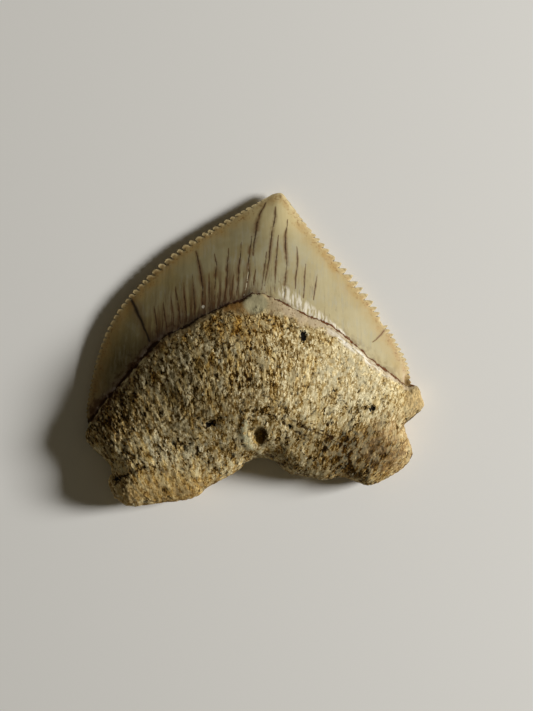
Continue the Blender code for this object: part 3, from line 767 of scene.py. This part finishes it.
def linear(code):
    """An sRGB hex colour, such as "c8b078", as linear red, green, blue and alpha."""
    parts = [int(code[i : i + 2], 16) / 255 for i in (0, 2, 4)]
    return tuple(p / 12.92 if p <= 0.04045 else ((p + 0.055) / 1.055) ** 2.4 for p in parts) + (1,)


def add(tree, kind, *values, output=None, **settings):
    """Adds a node, fills its open sockets in order with values or links, and returns an output."""
    made = tree.nodes.new("ShaderNode" + kind)
    for name, setting in settings.items():
        setattr(made, name, setting)
    sockets = [socket for socket in made.inputs if not socket.is_unavailable]
    for socket, value in zip(sockets, values):
        if isinstance(value, bpy.types.NodeSocket):
            tree.links.new(value, socket)
        elif value is not None:
            socket.default_value = linear(value) if isinstance(value, str) else value
    results = [socket for socket in made.outputs if not socket.is_unavailable]
    return next(socket for socket in results if output in (None, socket.name))


def times(tree, one, other):
    return add(tree, "Math", one, other, operation="MULTIPLY")


def plus(tree, one, other):
    return add(tree, "Math", one, other, operation="ADD")


def scaled(tree, value, factor, base):
    """The value times the factor, on top of the base."""
    return add(tree, "Math", value, factor, base, operation="MULTIPLY_ADD")


def rising(tree, value, start, end, **settings):
    """0 up to the start, 1 from the end on. The end may be the lower of the two."""
    return add(tree, "MapRange", value, start, end, 0.0, 1.0, **settings)


def falling(tree, value, start, end, **settings):
    """1 up to the start, 0 from the end on."""
    return add(tree, "MapRange", value, start, end, 1.0, 0.0, **settings)


def painted(tree, colour, coats, blend="MIX"):
    """Blends coats over a colour. Each coat is its colour and the masks that it shows through."""
    for coat, *masks in coats:
        shown = masks[0]
        for mask in masks[1:]:
            shown = times(tree, shown, mask)
        colour = add(tree, "Mix", shown, colour, coat, data_type="RGBA", blend_type=blend)
    return colour


def patches(tree, point, size, low, high, detail=3.0):
    """Soft patches of about the given size: 0 where a noise is under low, 1 where over high."""
    cloud = add(tree, "TexNoise", point, 1 / size, detail, 0.55)
    return rising(tree, cloud, low, high, interpolation_type="SMOOTHSTEP")


def zone(tree, point, middle_x, middle_y, half_x, half_y, soft=SOFT):
    """1 inside an oval, with a soft border."""
    scale = (1 / half_x, 1 / half_y, 0)
    offset = (-middle_x / half_x, -middle_y / half_y, 0)
    inside = add(tree, "VectorMath", point, scale, offset, operation="MULTIPLY_ADD")
    away = add(tree, "VectorMath", inside, operation="LENGTH", output="Value")
    return falling(tree, away, 1 - soft, 1 + soft, interpolation_type="SMOOTHSTEP")


def from_lines(tree, point, lines):
    """Distance to the nearest line, counted in half-widths of that line."""
    nearest = None
    for line in lines:
        for (*top, top_width), (*bottom, bottom_width) in zip(line[:-1], line[1:]):
            run = Vector((*bottom, 0)) - Vector((*top, 0))
            per_length = run / run.length_squared
            from_top = add(tree, "VectorMath", point, (*top, 0), operation="SUBTRACT")
            share = add(tree, "VectorMath", from_top, per_length, operation="DOT_PRODUCT", output="Value")
            share = add(tree, "Clamp", share)
            on_line = add(tree, "VectorMath", run, share, operation="SCALE")
            away = add(tree, "VectorMath", from_top, on_line, operation="DISTANCE", output="Value")
            half_width = add(tree, "MapRange", share, 0.0, 1.0, top_width, bottom_width)
            away = add(tree, "Math", away, half_width, operation="DIVIDE")
            nearest = add(tree, "Math", nearest, away, operation="MINIMUM") if nearest else away
    return nearest


def pores(tree, point, spacing, radius):
    """Round pores of uneven size: 1 at the middle of one, 0 outside."""
    cell = add(tree, "TexVoronoi", point, 1 / spacing, output="Distance")
    size = add(tree, "TexNoise", point, 1 / spacing, 0.0)
    size = add(tree, "MapRange", size, 0.4, 0.65, 0.01, radius / spacing)
    depth = add(tree, "Math", cell, size, operation="DIVIDE")
    return falling(tree, depth, 0.55, 1.1)


def unsteady(tree, point, per_mm, detail):
    """A smooth random step around zero, for bending straight borders and lines."""
    across = add(tree, "TexNoise", point, per_mm, detail)
    along = add(tree, "TexNoise", point, per_mm * 1.2, detail)
    step = add(tree, "CombineXYZ", across, along, across)
    return add(tree, "VectorMath", step, (-0.5,) * 3, operation="ADD")


def places_on_tooth(tree):
    """What every pattern starts from: places in mm, and the numbers kept with the mesh."""
    at = SimpleNamespace()
    in_metres = add(tree, "TexCoord", output="Object")
    at.point = add(tree, "VectorMath", in_metres, 1 / METRES, operation="SCALE")
    at.x = add(tree, "SeparateXYZ", at.point, output="X")
    at.y = add(tree, "SeparateXYZ", at.point, output="Y")
    for name in ("above_base", "from_edge", "rim", "notch", "furrow", "collar"):
        setattr(at, name, add(tree, "Attribute", attribute_name=name, output="Fac"))

    drift = unsteady(tree, at.point, BENDS_PER_MM, 3.0)
    at.bent = add(tree, "VectorMath", drift, BEND, at.point, operation="MULTIPLY_ADD")
    at.blots = partial(patches, tree, at.bent)
    at.flat = add(tree, "VectorMath", at.bent, (1, 1, 0), operation="MULTIPLY")
    crumbs = unsteady(tree, at.point, CRUMBS_PER_MM, 2.0)
    at.ragged = add(tree, "VectorMath", crumbs, (RAGGED,) * 3, at.point, operation="MULTIPLY_ADD")
    at.very_ragged = add(
        tree, "VectorMath", crumbs, (VERY_RAGGED,) * 3, at.point, operation="MULTIPLY_ADD"
    )

    at.below = times(tree, at.above_base, -1.0)
    at.open_bone = add(tree, "Math", 1.0, at.collar, operation="SUBTRACT")
    return at


def bone_tone(tree, at):
    """How light the bone is: drawn grain under the crown, round crumbs in the lobes, and pits."""
    level = add(tree, "Math", at.x, 0.0, operation="MINIMUM")
    level = scaled(tree, level, -0.25, at.y)
    at.upper = rising(tree, level, -5.0, -3.0)
    drawn = add(tree, "MapRange", at.x, 2.0, 7.0, 1.0, 0.25)
    drawn = times(tree, drawn, at.upper)
    fan = scaled(tree, at.y, -GRAIN_FAN, 1 + GRAIN_FAN * GRAIN_FAN_FROM)
    fanned = add(tree, "CombineXYZ", fan, 1.0, 1.0)
    fanned = add(tree, "VectorMath", at.ragged, fanned, operation="DIVIDE")
    speckle_point = add(tree, "VectorMath", fanned, (1, SPECKLE_SQUEEZE, 1), operation="MULTIPLY")
    at.drawn_point = add(tree, "VectorMath", fanned, (1, DRAWN_SQUEEZE, 1), operation="MULTIPLY")
    flake_point = add(tree, "VectorMath", fanned, (1, FLAKE_SQUEEZE, 1), operation="MULTIPLY")
    round_speckle = add(tree, "TexNoise", speckle_point, 1 / SPECKLE_SIZE, 3.0, 0.65)
    drawn_speckle = add(tree, "TexNoise", at.drawn_point, 1 / DRAWN_SPECKLE_SIZE, 3.0, 0.65)
    speckle = add(tree, "Mix", drawn, round_speckle, drawn_speckle)
    flake = add(tree, "TexVoronoi", flake_point, 1 / FLAKE_SIZE, output="Distance")
    flake = add(tree, "MapRange", flake, 0.1, 0.65, 1.1, 0.1)
    grain = add(tree, "Mix", FLAKE_SHARE, speckle, flake)
    drawn_flakes = patches(tree, at.drawn_point, 0.35, 0.53, 0.63, 2.0)
    round_flakes = patches(tree, speckle_point, 0.6, 0.48, 0.58, 3.0)
    at.smooth_flakes = add(tree, "Mix", drawn, round_flakes, drawn_flakes)
    contrast = add(tree, "MapRange", at.x, -5.0, 8.0, 2.3, 0.9)
    contrast = add(tree, "Mix", at.upper, 1.0, contrast)
    contrast = add(tree, "Mix", at.smooth_flakes, contrast, 0.6)
    grain = plus(tree, grain, -0.5)
    tone = scaled(tree, grain, contrast, MIDDLE_TONE)
    tone = scaled(tree, at.smooth_flakes, SMOOTH_FLAKES_LIGHTER, tone)

    round_cloud = add(tree, "TexNoise", speckle_point, 1 / CLOUD_SIZE, 3.0, 0.6)
    drawn_cloud = add(tree, "TexNoise", at.drawn_point, 1 / DRAWN_CLOUD_SIZE, 3.0, 0.6)
    cloud = add(tree, "Mix", drawn, round_cloud, drawn_cloud)
    cloud = plus(tree, cloud, -0.5)
    streaky = add(tree, "MapRange", at.x, -6.0, 4.0, 1.0, 0.55)
    cloud = times(tree, cloud, streaky)
    tone = plus(tree, cloud, tone)

    pitting = add(tree, "TexNoise", speckle_point, 1 / PIT_SIZE, 3.0, 0.7)
    clusters = add(tree, "TexNoise", speckle_point, 1 / PIT_CLUSTER_SIZE, 2.0, 0.5)
    pitted = add(tree, "MapRange", clusters, 0.38, 0.62, 0.63, 0.50)
    pitted = add(tree, "Mix", at.upper, pitted, 0.60)
    over = add(tree, "Math", pitting, pitted, operation="SUBTRACT")
    pits = rising(tree, over, 0.0, 0.05)
    tone = scaled(tree, pits, -PITS_DARKER, tone)
    for *oval, lighter in SHADES:
        shaded = zone(tree, at.ragged, *oval, VERY_SOFT)
        tone = scaled(tree, shaded, lighter, tone)
    at.tone = tone


def enameloid_colour(tree, at):
    """Grey-olive enameloid, tan towards the cutting edges, with brown hairlines."""
    wobble = add(tree, "TexNoise", at.bent, 1.1, 4.0, 0.6)
    wobble = scaled(tree, wobble, 1.6, -0.8)
    inward = plus(tree, at.from_edge, wobble)
    tan_margin = falling(tree, inward, 0.2, 1.7, interpolation_type="SMOOTHSTEP")
    ochre_margin = falling(tree, inward, 0.3, 0.9, interpolation_type="SMOOTHSTEP")
    to_right = rising(tree, at.x, 0.5, 6.0)
    to_left = rising(tree, at.x, 1.0, -2.0)
    to_far_left = rising(tree, at.x, 2.0, -9.0)
    near_base = falling(tree, at.above_base, 0.8, 3.8)
    at_base = falling(tree, at.above_base, 0.1, 0.8)
    left_end = add(tree, "MapRange", at.x, -9.5, -8.0, 0.15, 1.0)
    right_end = add(tree, "MapRange", at.x, 5.5, 8.0, 1.0, 0.15)
    between_ends = times(tree, left_end, right_end)
    streaked = times(tree, near_base, between_ends)
    low_streaked = falling(tree, at.above_base, 0.2, 1.6)
    low_streaked = times(tree, low_streaked, between_ends)

    stretched = add(tree, "Mapping", at.flat, None, None, HAIRLINE_TURNS)
    waves = add(tree, "TexNoise", stretched, 1.0, 3.0, 0.6)
    off_line = plus(tree, waves, -0.5)
    off_line = add(tree, "Math", off_line, operation="ABSOLUTE")
    hairline = falling(tree, off_line, 0.0, 0.022)

    near_streak = from_lines(tree, at.flat, STREAKS)
    streak = falling(tree, near_streak, 0.3, 1.5)
    halo = falling(tree, near_streak, 0.6, 5.5)
    crack_edge_highlight = from_lines(tree, at.flat, CRACK_EDGE_HIGHLIGHT)
    crack_edge_highlight = falling(tree, crack_edge_highlight, 0.4, 1.3)
    near_fracture = from_lines(tree, at.flat, FRACTURES)
    fracture = falling(tree, near_fracture, 0.3, 1.3)
    fracture_halo = falling(tree, near_fracture, 0.8, 5.0)
    tip_and_rim_light = falling(tree, at.rim, 0.03, 0.25)
    # Where the painted highlight low on the crown lies.
    foot_highlight = from_lines(tree, at.flat, FOOT_HIGHLIGHT)
    foot_highlight = falling(tree, foot_highlight, 0.5, 1.25)
    fluting = add(tree, "Mapping", at.flat, None, None, FLUTE_TURNS)
    at_cutting_edge = falling(tree, at.from_edge, 0.25, 0.45)
    in_notch = rising(tree, at.notch, 0.2, 0.6)

    coats = [
        ("aea582", at.blots(2.6, 0.4, 0.6)),
        ("b9ab82", to_right, 0.75),
        # Painted shade: the far left of the crown, which faces away from the light, is darker and more olive,
        # and darkest low on its left.
        ("84702f", to_far_left, 0.55),
        ("544a22", zone(tree, at.bent, -11.8, -2.0, 2.6, 3.8, VERY_SOFT), 0.5),
        ("a3956f", to_far_left, at.blots(0.9, 0.45, 0.65, 4.0), 0.5),
        ("8f7c5c", streaked, to_left, patches(tree, stretched, 1.0, 0.42, 0.6), 0.7),
        ("aaa48c", patches(tree, fluting, 1.0, 0.45, 0.65), at.blots(2.0, 0.4, 0.6), 0.5),
        ("b89b62", tan_margin, 0.7),
        ("d6c592", zone(tree, at.bent, 2.0, 11.8, 2.6, 2.2, VERY_SOFT), 0.6),
        ("a8803f", ochre_margin, at.blots(0.8, 0.35, 0.62), 0.5),
        ("80592b", ochre_margin, at.blots(0.2, 0.55, 0.64), 0.6),
    ]
    colour = painted(tree, "a3956c", coats)
    coats = [
        ("5f3f20", streaked, to_left, patches(tree, stretched, 0.62, 0.46, 0.58), 0.9),
        ("543416", low_streaked, to_left, patches(tree, stretched, 0.35, 0.47, 0.6), 0.9),
        ("5c4028", hairline, streaked, at.blots(1.1, 0.42, 0.55), 0.7),
        ("5c3a14", at_base, to_far_left, at.blots(0.8, 0.35, 0.6, 4.0), 0.95),
        ("6f5536", at_base, at.blots(0.5, 0.4, 0.6), 0.5),
        ("76624a", low_streaked, to_left, at.blots(1.2, 0.35, 0.6), 0.5),
    ]
    colour = painted(tree, colour, coats)
    coats = [
        ("6b4828", halo, at.blots(0.9, 0.3, 0.6), 0.9),
        ("352216", streak, at.blots(0.6, 0.25, 0.58, 2.0), 0.95),
        # Painted highlight along the lit edge of an open crack.
        ("e6dab8", crack_edge_highlight, at.blots(0.3, 0.4, 0.55), 0.9),
        # A painted glint: one bright white dot on the crown.
        ("efe6d0", zone(tree, at.flat, -4.2, 3.5, 0.12, 0.14, 0.3)),
        ("5d3d1d", fracture_halo, 0.5),
        ("24150c", fracture, 0.95),
        ("7a4a1e", fracture, to_right, 0.85),
        # Painted highlight, white and striped, in the hollow low on the crown.
        ("e9e1cd", foot_highlight, patches(tree, fluting, 1.0, 0.4, 0.58), 0.8),
        # Cream serration tips: partly their own colour, partly a painted rim light along the outline, also on
        # the shaded left.
        ("d9c898", tip_and_rim_light, at_cutting_edge, 0.6),
        ("2c1a0c", in_notch, at.blots(0.7, 0.3, 0.5), 0.9),
    ]
    return painted(tree, colour, coats)


def dentine_colour(tree, at):
    """Porous root: cream and ochre where the bone stands up, dark brown where it is deep or stained."""
    left_side = falling(tree, at.x, -9.0, -4.0)
    to_left = rising(tree, at.x, 6.0, -4.0)
    middle_left = zone(tree, at.ragged, -1.7, 3.2, 1.3, 1.2)
    right_side = rising(tree, at.x, 0.5, 2.5)
    across_band = times(tree, at.below, 7.0)
    striped = add(tree, "CombineXYZ", across_band, at.x, 0.0)
    highlight_stripes = patches(tree, striped, 1.0, 0.4, 0.58, 2.0)
    # Where the white striped band under the crack on the right lies: a painted highlight on the smooth slope
    # there.
    highlight_band = rising(tree, at.x, 5.2, 7.2)
    highlight_band_ends = falling(tree, at.x, 9.5, 12.0)
    highlight_band_top = rising(tree, at.below, 0.08, 0.2)
    highlight_band_bottom = falling(tree, at.below, 0.45, 0.7)
    knob = zone(tree, at.ragged, 13.4, -4.3, 1.0, 1.4, 0.4)
    x, y, half_x, half_y, _ = FORAMEN
    torn = add(tree, "Mapping", at.very_ragged, None, None, (1, 1, 0))
    # The canal's mouth: painted shade on its right half, painted light on its left inner wall, which faces
    # the light.
    canal = zone(tree, torn, x + 0.3, y, half_x * 0.55, half_y, 0.5)
    lit_canal_wall = zone(tree, torn, x - 0.15, y - 0.1, 0.4, 0.65, 0.5)
    canal_ridge = from_lines(tree, torn, CANAL_RIDGE)
    canal_ridge = falling(tree, canal_ridge, 0.6, 1.5)
    bone_crack = from_lines(tree, torn, BONE_CRACKS)
    bone_crack = falling(tree, bone_crack, 0.5, 1.5)

    coats = []
    for coat, shows_at, covers_at in BONE_COLOURS:
        coats.append((coat, rising(tree, at.tone, shows_at, covers_at)))
    colour = painted(tree, MIDDLE_BONE, coats)
    paler_right = add(tree, "MapRange", at.x, 1.0, 8.0, 1.0, 0.45)
    tints = [
        ("faeac2", patches(tree, at.drawn_point, 0.6, 0.45, 0.65, 2.0), paler_right),
        ("e0d0a8", patches(tree, at.drawn_point, 0.8, 0.4, 0.65, 4.0), at.upper, to_left),
    ]
    tints += [("f0e2c4", zone(tree, at.ragged, *oval, VERY_SOFT)) for oval in RUSTY]
    colour = painted(tree, colour, tints, blend="MULTIPLY")
    coats = [
        ("b3a98c", zone(tree, at.ragged, 7.0, -1.6, 3.4, 1.9, VERY_SOFT), at.smooth_flakes, 0.6),
        ("b4ab88", at.smooth_flakes, 0.4),
        # Painted glints: small bright cream dots over the open bone.
        ("f6ecc8", pores(tree, at.very_ragged, 0.95, 0.14), at.open_bone, 0.9),
        ("b39e72", at.collar, 0.8),
        ("c3b78c", at.collar, left_side, at.blots(0.9, 0.4, 0.55), 0.7),
        ("7d5c24", at.collar, left_side, at.blots(0.6, 0.5, 0.62, 4.0), 0.7),
        ("bfad90", at.collar, right_side, 0.7),
        ("865e26", at.collar, middle_left, at.blots(0.5, 0.25, 0.5, 4.0), 0.85),
        ("6b4a20", at.collar, at.blots(0.22, 0.56, 0.66), 0.7),
    ]
    colour = painted(tree, colour, coats)
    left_lobe = zone(tree, at.ragged, -7.6, -12.0, 4.6, 1.6, VERY_SOFT)
    right_lobe = zone(tree, at.ragged, 11.2, -7.8, 2.0, 2.6, VERY_SOFT)
    blotches = at.blots(0.8, 0.35, 0.6)
    coats = [
        # Painted highlight: the white striped band under the crack on the right.
        ("ece5d3", highlight_band, highlight_band_ends, highlight_band_top, highlight_band_bottom, highlight_stripes, 0.9),
        ("c3ab7c", knob, 0.6),
        ("ad8c55", left_lobe, blotches, 0.5),
        ("b39468", right_lobe, blotches, 0.5),
        ("a9a07c", zone(tree, at.ragged, *ENAMEL_LAP, 0.25)),
        ("2a1806", rising(tree, at.furrow, 0.12, 0.4), 0.9),
    ]
    colour = painted(tree, colour, coats)
    coats = [
        ("2c1808", bone_crack, at.blots(0.5, 0.35, 0.5), 0.85),
        ("b7b38f", canal_ridge, at.blots(0.5, 0.3, 0.5), 0.75),
        # Painted shade in the right half of the canal's mouth, and painted light with glints on its left
        # inner wall.
        ("3c2810", canal, at.blots(0.25, 0.3, 0.45), 0.9),
        ("a88a4c", lit_canal_wall, at.blots(0.2, 0.42, 0.55), 0.85),
    ]
    colour = painted(tree, colour, coats)
    return painted(tree, colour, [("14110e", zone(tree, torn, *speck, 0.2)) for speck in SPECKS])


def fossil_finish():
    """Phosphatic fossil tooth: polished enameloid that takes a soft gloss, and dull pitted dentine."""
    material = bpy.data.materials.new("fossil_enameloid_and_dentine")
    material.use_nodes = True
    tree = material.node_tree
    shader = tree.nodes["Principled BSDF"]
    at = places_on_tooth(tree)
    bone_tone(tree, at)

    in_root = falling(tree, at.above_base, -0.04, 0.02)
    colour = add(tree, "Mix", in_root, enameloid_colour(tree, at), dentine_colour(tree, at), data_type="RGBA")
    wander = add(tree, "TexNoise", at.bent, 2.6, 4.0, 0.65)
    wander = scaled(tree, wander, 0.3, -0.13)
    apart = plus(tree, at.above_base, wander)
    apart = add(tree, "Math", apart, operation="ABSOLUTE")
    unevenness = add(tree, "TexNoise", at.bent, 1.7, 4.0, 0.6)
    width = add(tree, "MapRange", unevenness, 0.4, 0.66, 0.0, 0.15)
    # Towards the left the crack is drawn wider: the crack itself, with painted shade beside it from the
    # root's ledge.
    crack_wider_left_with_shade = add(tree, "MapRange", at.x, -9.0, 3.0, 1.8, 0.75)
    width = scaled(tree, width, crack_wider_left_with_shade, 0.015)
    redder_right = rising(tree, at.x, -4.0, 5.0)
    crack = add(tree, "Math", apart, width, operation="DIVIDE")
    crack_halo = falling(tree, crack, 1.0, 6.0)
    halo_ends = add(tree, "MapRange", at.x, -3.0, -9.0, 0.2, 1.0)
    crack = falling(tree, crack, 0.5, 1.3)
    coats = [
        ("4a2a0c", crack_halo, halo_ends, at.blots(0.6, 0.25, 0.55, 4.0), 0.9),
        ("26140a", crack, 0.9),
        ("6a3c1a", crack, redder_right, 0.9),
    ]
    colour = painted(tree, colour, coats)
    tree.links.new(colour, shader.inputs["Base Color"])

    gloss = at.blots(0.8, 0.3, 0.7, 4.0)
    crown_gloss = add(tree, "MapRange", gloss, 0.0, 1.0, 0.28, 0.42)
    worn_edge = falling(tree, at.from_edge, 0.2, 0.5)
    crown_gloss = add(tree, "Mix", worn_edge, crown_gloss, 0.65)
    bone_gloss = add(tree, "MapRange", gloss, 0.0, 1.0, 0.55, 0.9)
    lap = zone(tree, at.ragged, *ENAMEL_LAP, 0.12)
    bone_gloss = add(tree, "Mix", lap, bone_gloss, 0.35)
    roughness = add(tree, "Mix", in_root, crown_gloss, bone_gloss)
    roughness = add(tree, "Mix", crack, roughness, 1.0)
    tree.links.new(roughness, shader.inputs["Roughness"])

    mostly_bone = add(tree, "MapRange", at.open_bone, 0.0, 1.0, 0.15, 1.0)
    bone = times(tree, at.tone, 0.9)
    bone = times(tree, bone, mostly_bone)
    bone = times(tree, bone, in_root)
    stretched = add(tree, "Mapping", at.flat, None, None, SWELL_TURNS)
    swell = add(tree, "TexNoise", stretched, 1.0, 2.0, 0.5)
    height = scaled(tree, swell, 0.25, bone)
    height = scaled(tree, crack, -0.6, height)
    stained = times(tree, crack_halo, halo_ends)
    sheen = add(tree, "Mix", stained, 0.4, 0.05)
    sheen = add(tree, "Mix", in_root, sheen, 0.04)
    tree.links.new(sheen, shader.inputs["Specular IOR Level"])
    bump = add(tree, "Bump", 0.9, 0.10 * METRES, None, height)
    tree.links.new(bump, shader.inputs["Normal"])
    return material


# ---- surroundings ----
FLOOR_SIZE_M = 0.6
FRAME_PIXELS = (533, 711)
PIXELS_PER_MM = 12.07
TOOTH_MIDDLE_PIXELS = (254.75, 349.5)
LENS = 100
SENSOR = 36
OUTLINE_HEIGHT = 1.3


def make_floor():
    """A plain pale card."""
    bpy.ops.object.select_all(action="DESELECT")
    bpy.ops.mesh.primitive_plane_add(size=FLOOR_SIZE_M)
    floor = bpy.context.active_object
    floor.name = "floor"
    # Matt card, so that the eye finds only the tooth's soft shadow on it.
    card = bpy.data.materials.new("matt_white_card")
    card.use_nodes = True
    shader = card.node_tree.nodes["Principled BSDF"]
    shader.inputs["Base Color"].default_value = linear("f0eee8")
    shader.inputs["Roughness"].default_value = 0.9
    floor.data.materials.append(card)


def add_camera():
    """Looks straight down, with the apex at the top of the frame."""
    data = bpy.data.cameras.new("camera")
    data.lens = LENS
    data.sensor_width = SENSOR
    camera = bpy.data.objects.new("camera", data)
    bpy.context.scene.collection.objects.link(camera)
    bpy.context.scene.camera = camera
    frame_height = FRAME_PIXELS[1] / PIXELS_PER_MM
    distance = frame_height * LENS / SENSOR
    right = (FRAME_PIXELS[0] / 2 - TOOTH_MIDDLE_PIXELS[0]) / PIXELS_PER_MM
    up = (TOOTH_MIDDLE_PIXELS[1] - FRAME_PIXELS[1] / 2) / PIXELS_PER_MM
    camera.location = Vector((right, up, OUTLINE_HEIGHT + distance)) * METRES
    data.clip_start = 0.001


def add_light(name, azimuth, elevation, distance, size, power):
    """A square soft box aimed at the tooth. Angles in degrees, lengths in metres, power in watts."""
    around, up = np.radians([azimuth, elevation])
    place = Vector((np.cos(up) * np.cos(around), np.cos(up) * np.sin(around), np.sin(up))) * distance
    data = bpy.data.lights.new(name, "AREA")
    data.size = size
    data.energy = power
    light = bpy.data.objects.new(name, data)
    light.location = place
    light.rotation_euler = (-place).to_track_quat("-Z", "Y").to_euler()
    bpy.context.scene.collection.objects.link(light)


def light_scene():
    """A soft box low on the right, and a weak even light that opens the shadows."""
    add_light("key", azimuth=6, elevation=27, distance=0.45, size=0.12, power=2.6)
    world = bpy.data.worlds.new("studio")
    world.use_nodes = True
    background = world.node_tree.nodes["Background"]
    background.inputs["Color"].default_value = linear("f0e0bc")
    background.inputs["Strength"].default_value = 0.07
    bpy.context.scene.world = world
    bpy.context.scene.view_settings.view_transform = "Standard"


def main():
    add_camera()
    light_scene()
    make_floor()
    tooth = model_tooth()
    tooth.data.materials.append(fossil_finish())
    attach(tooth, BODY)
    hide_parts(NODE)


main()
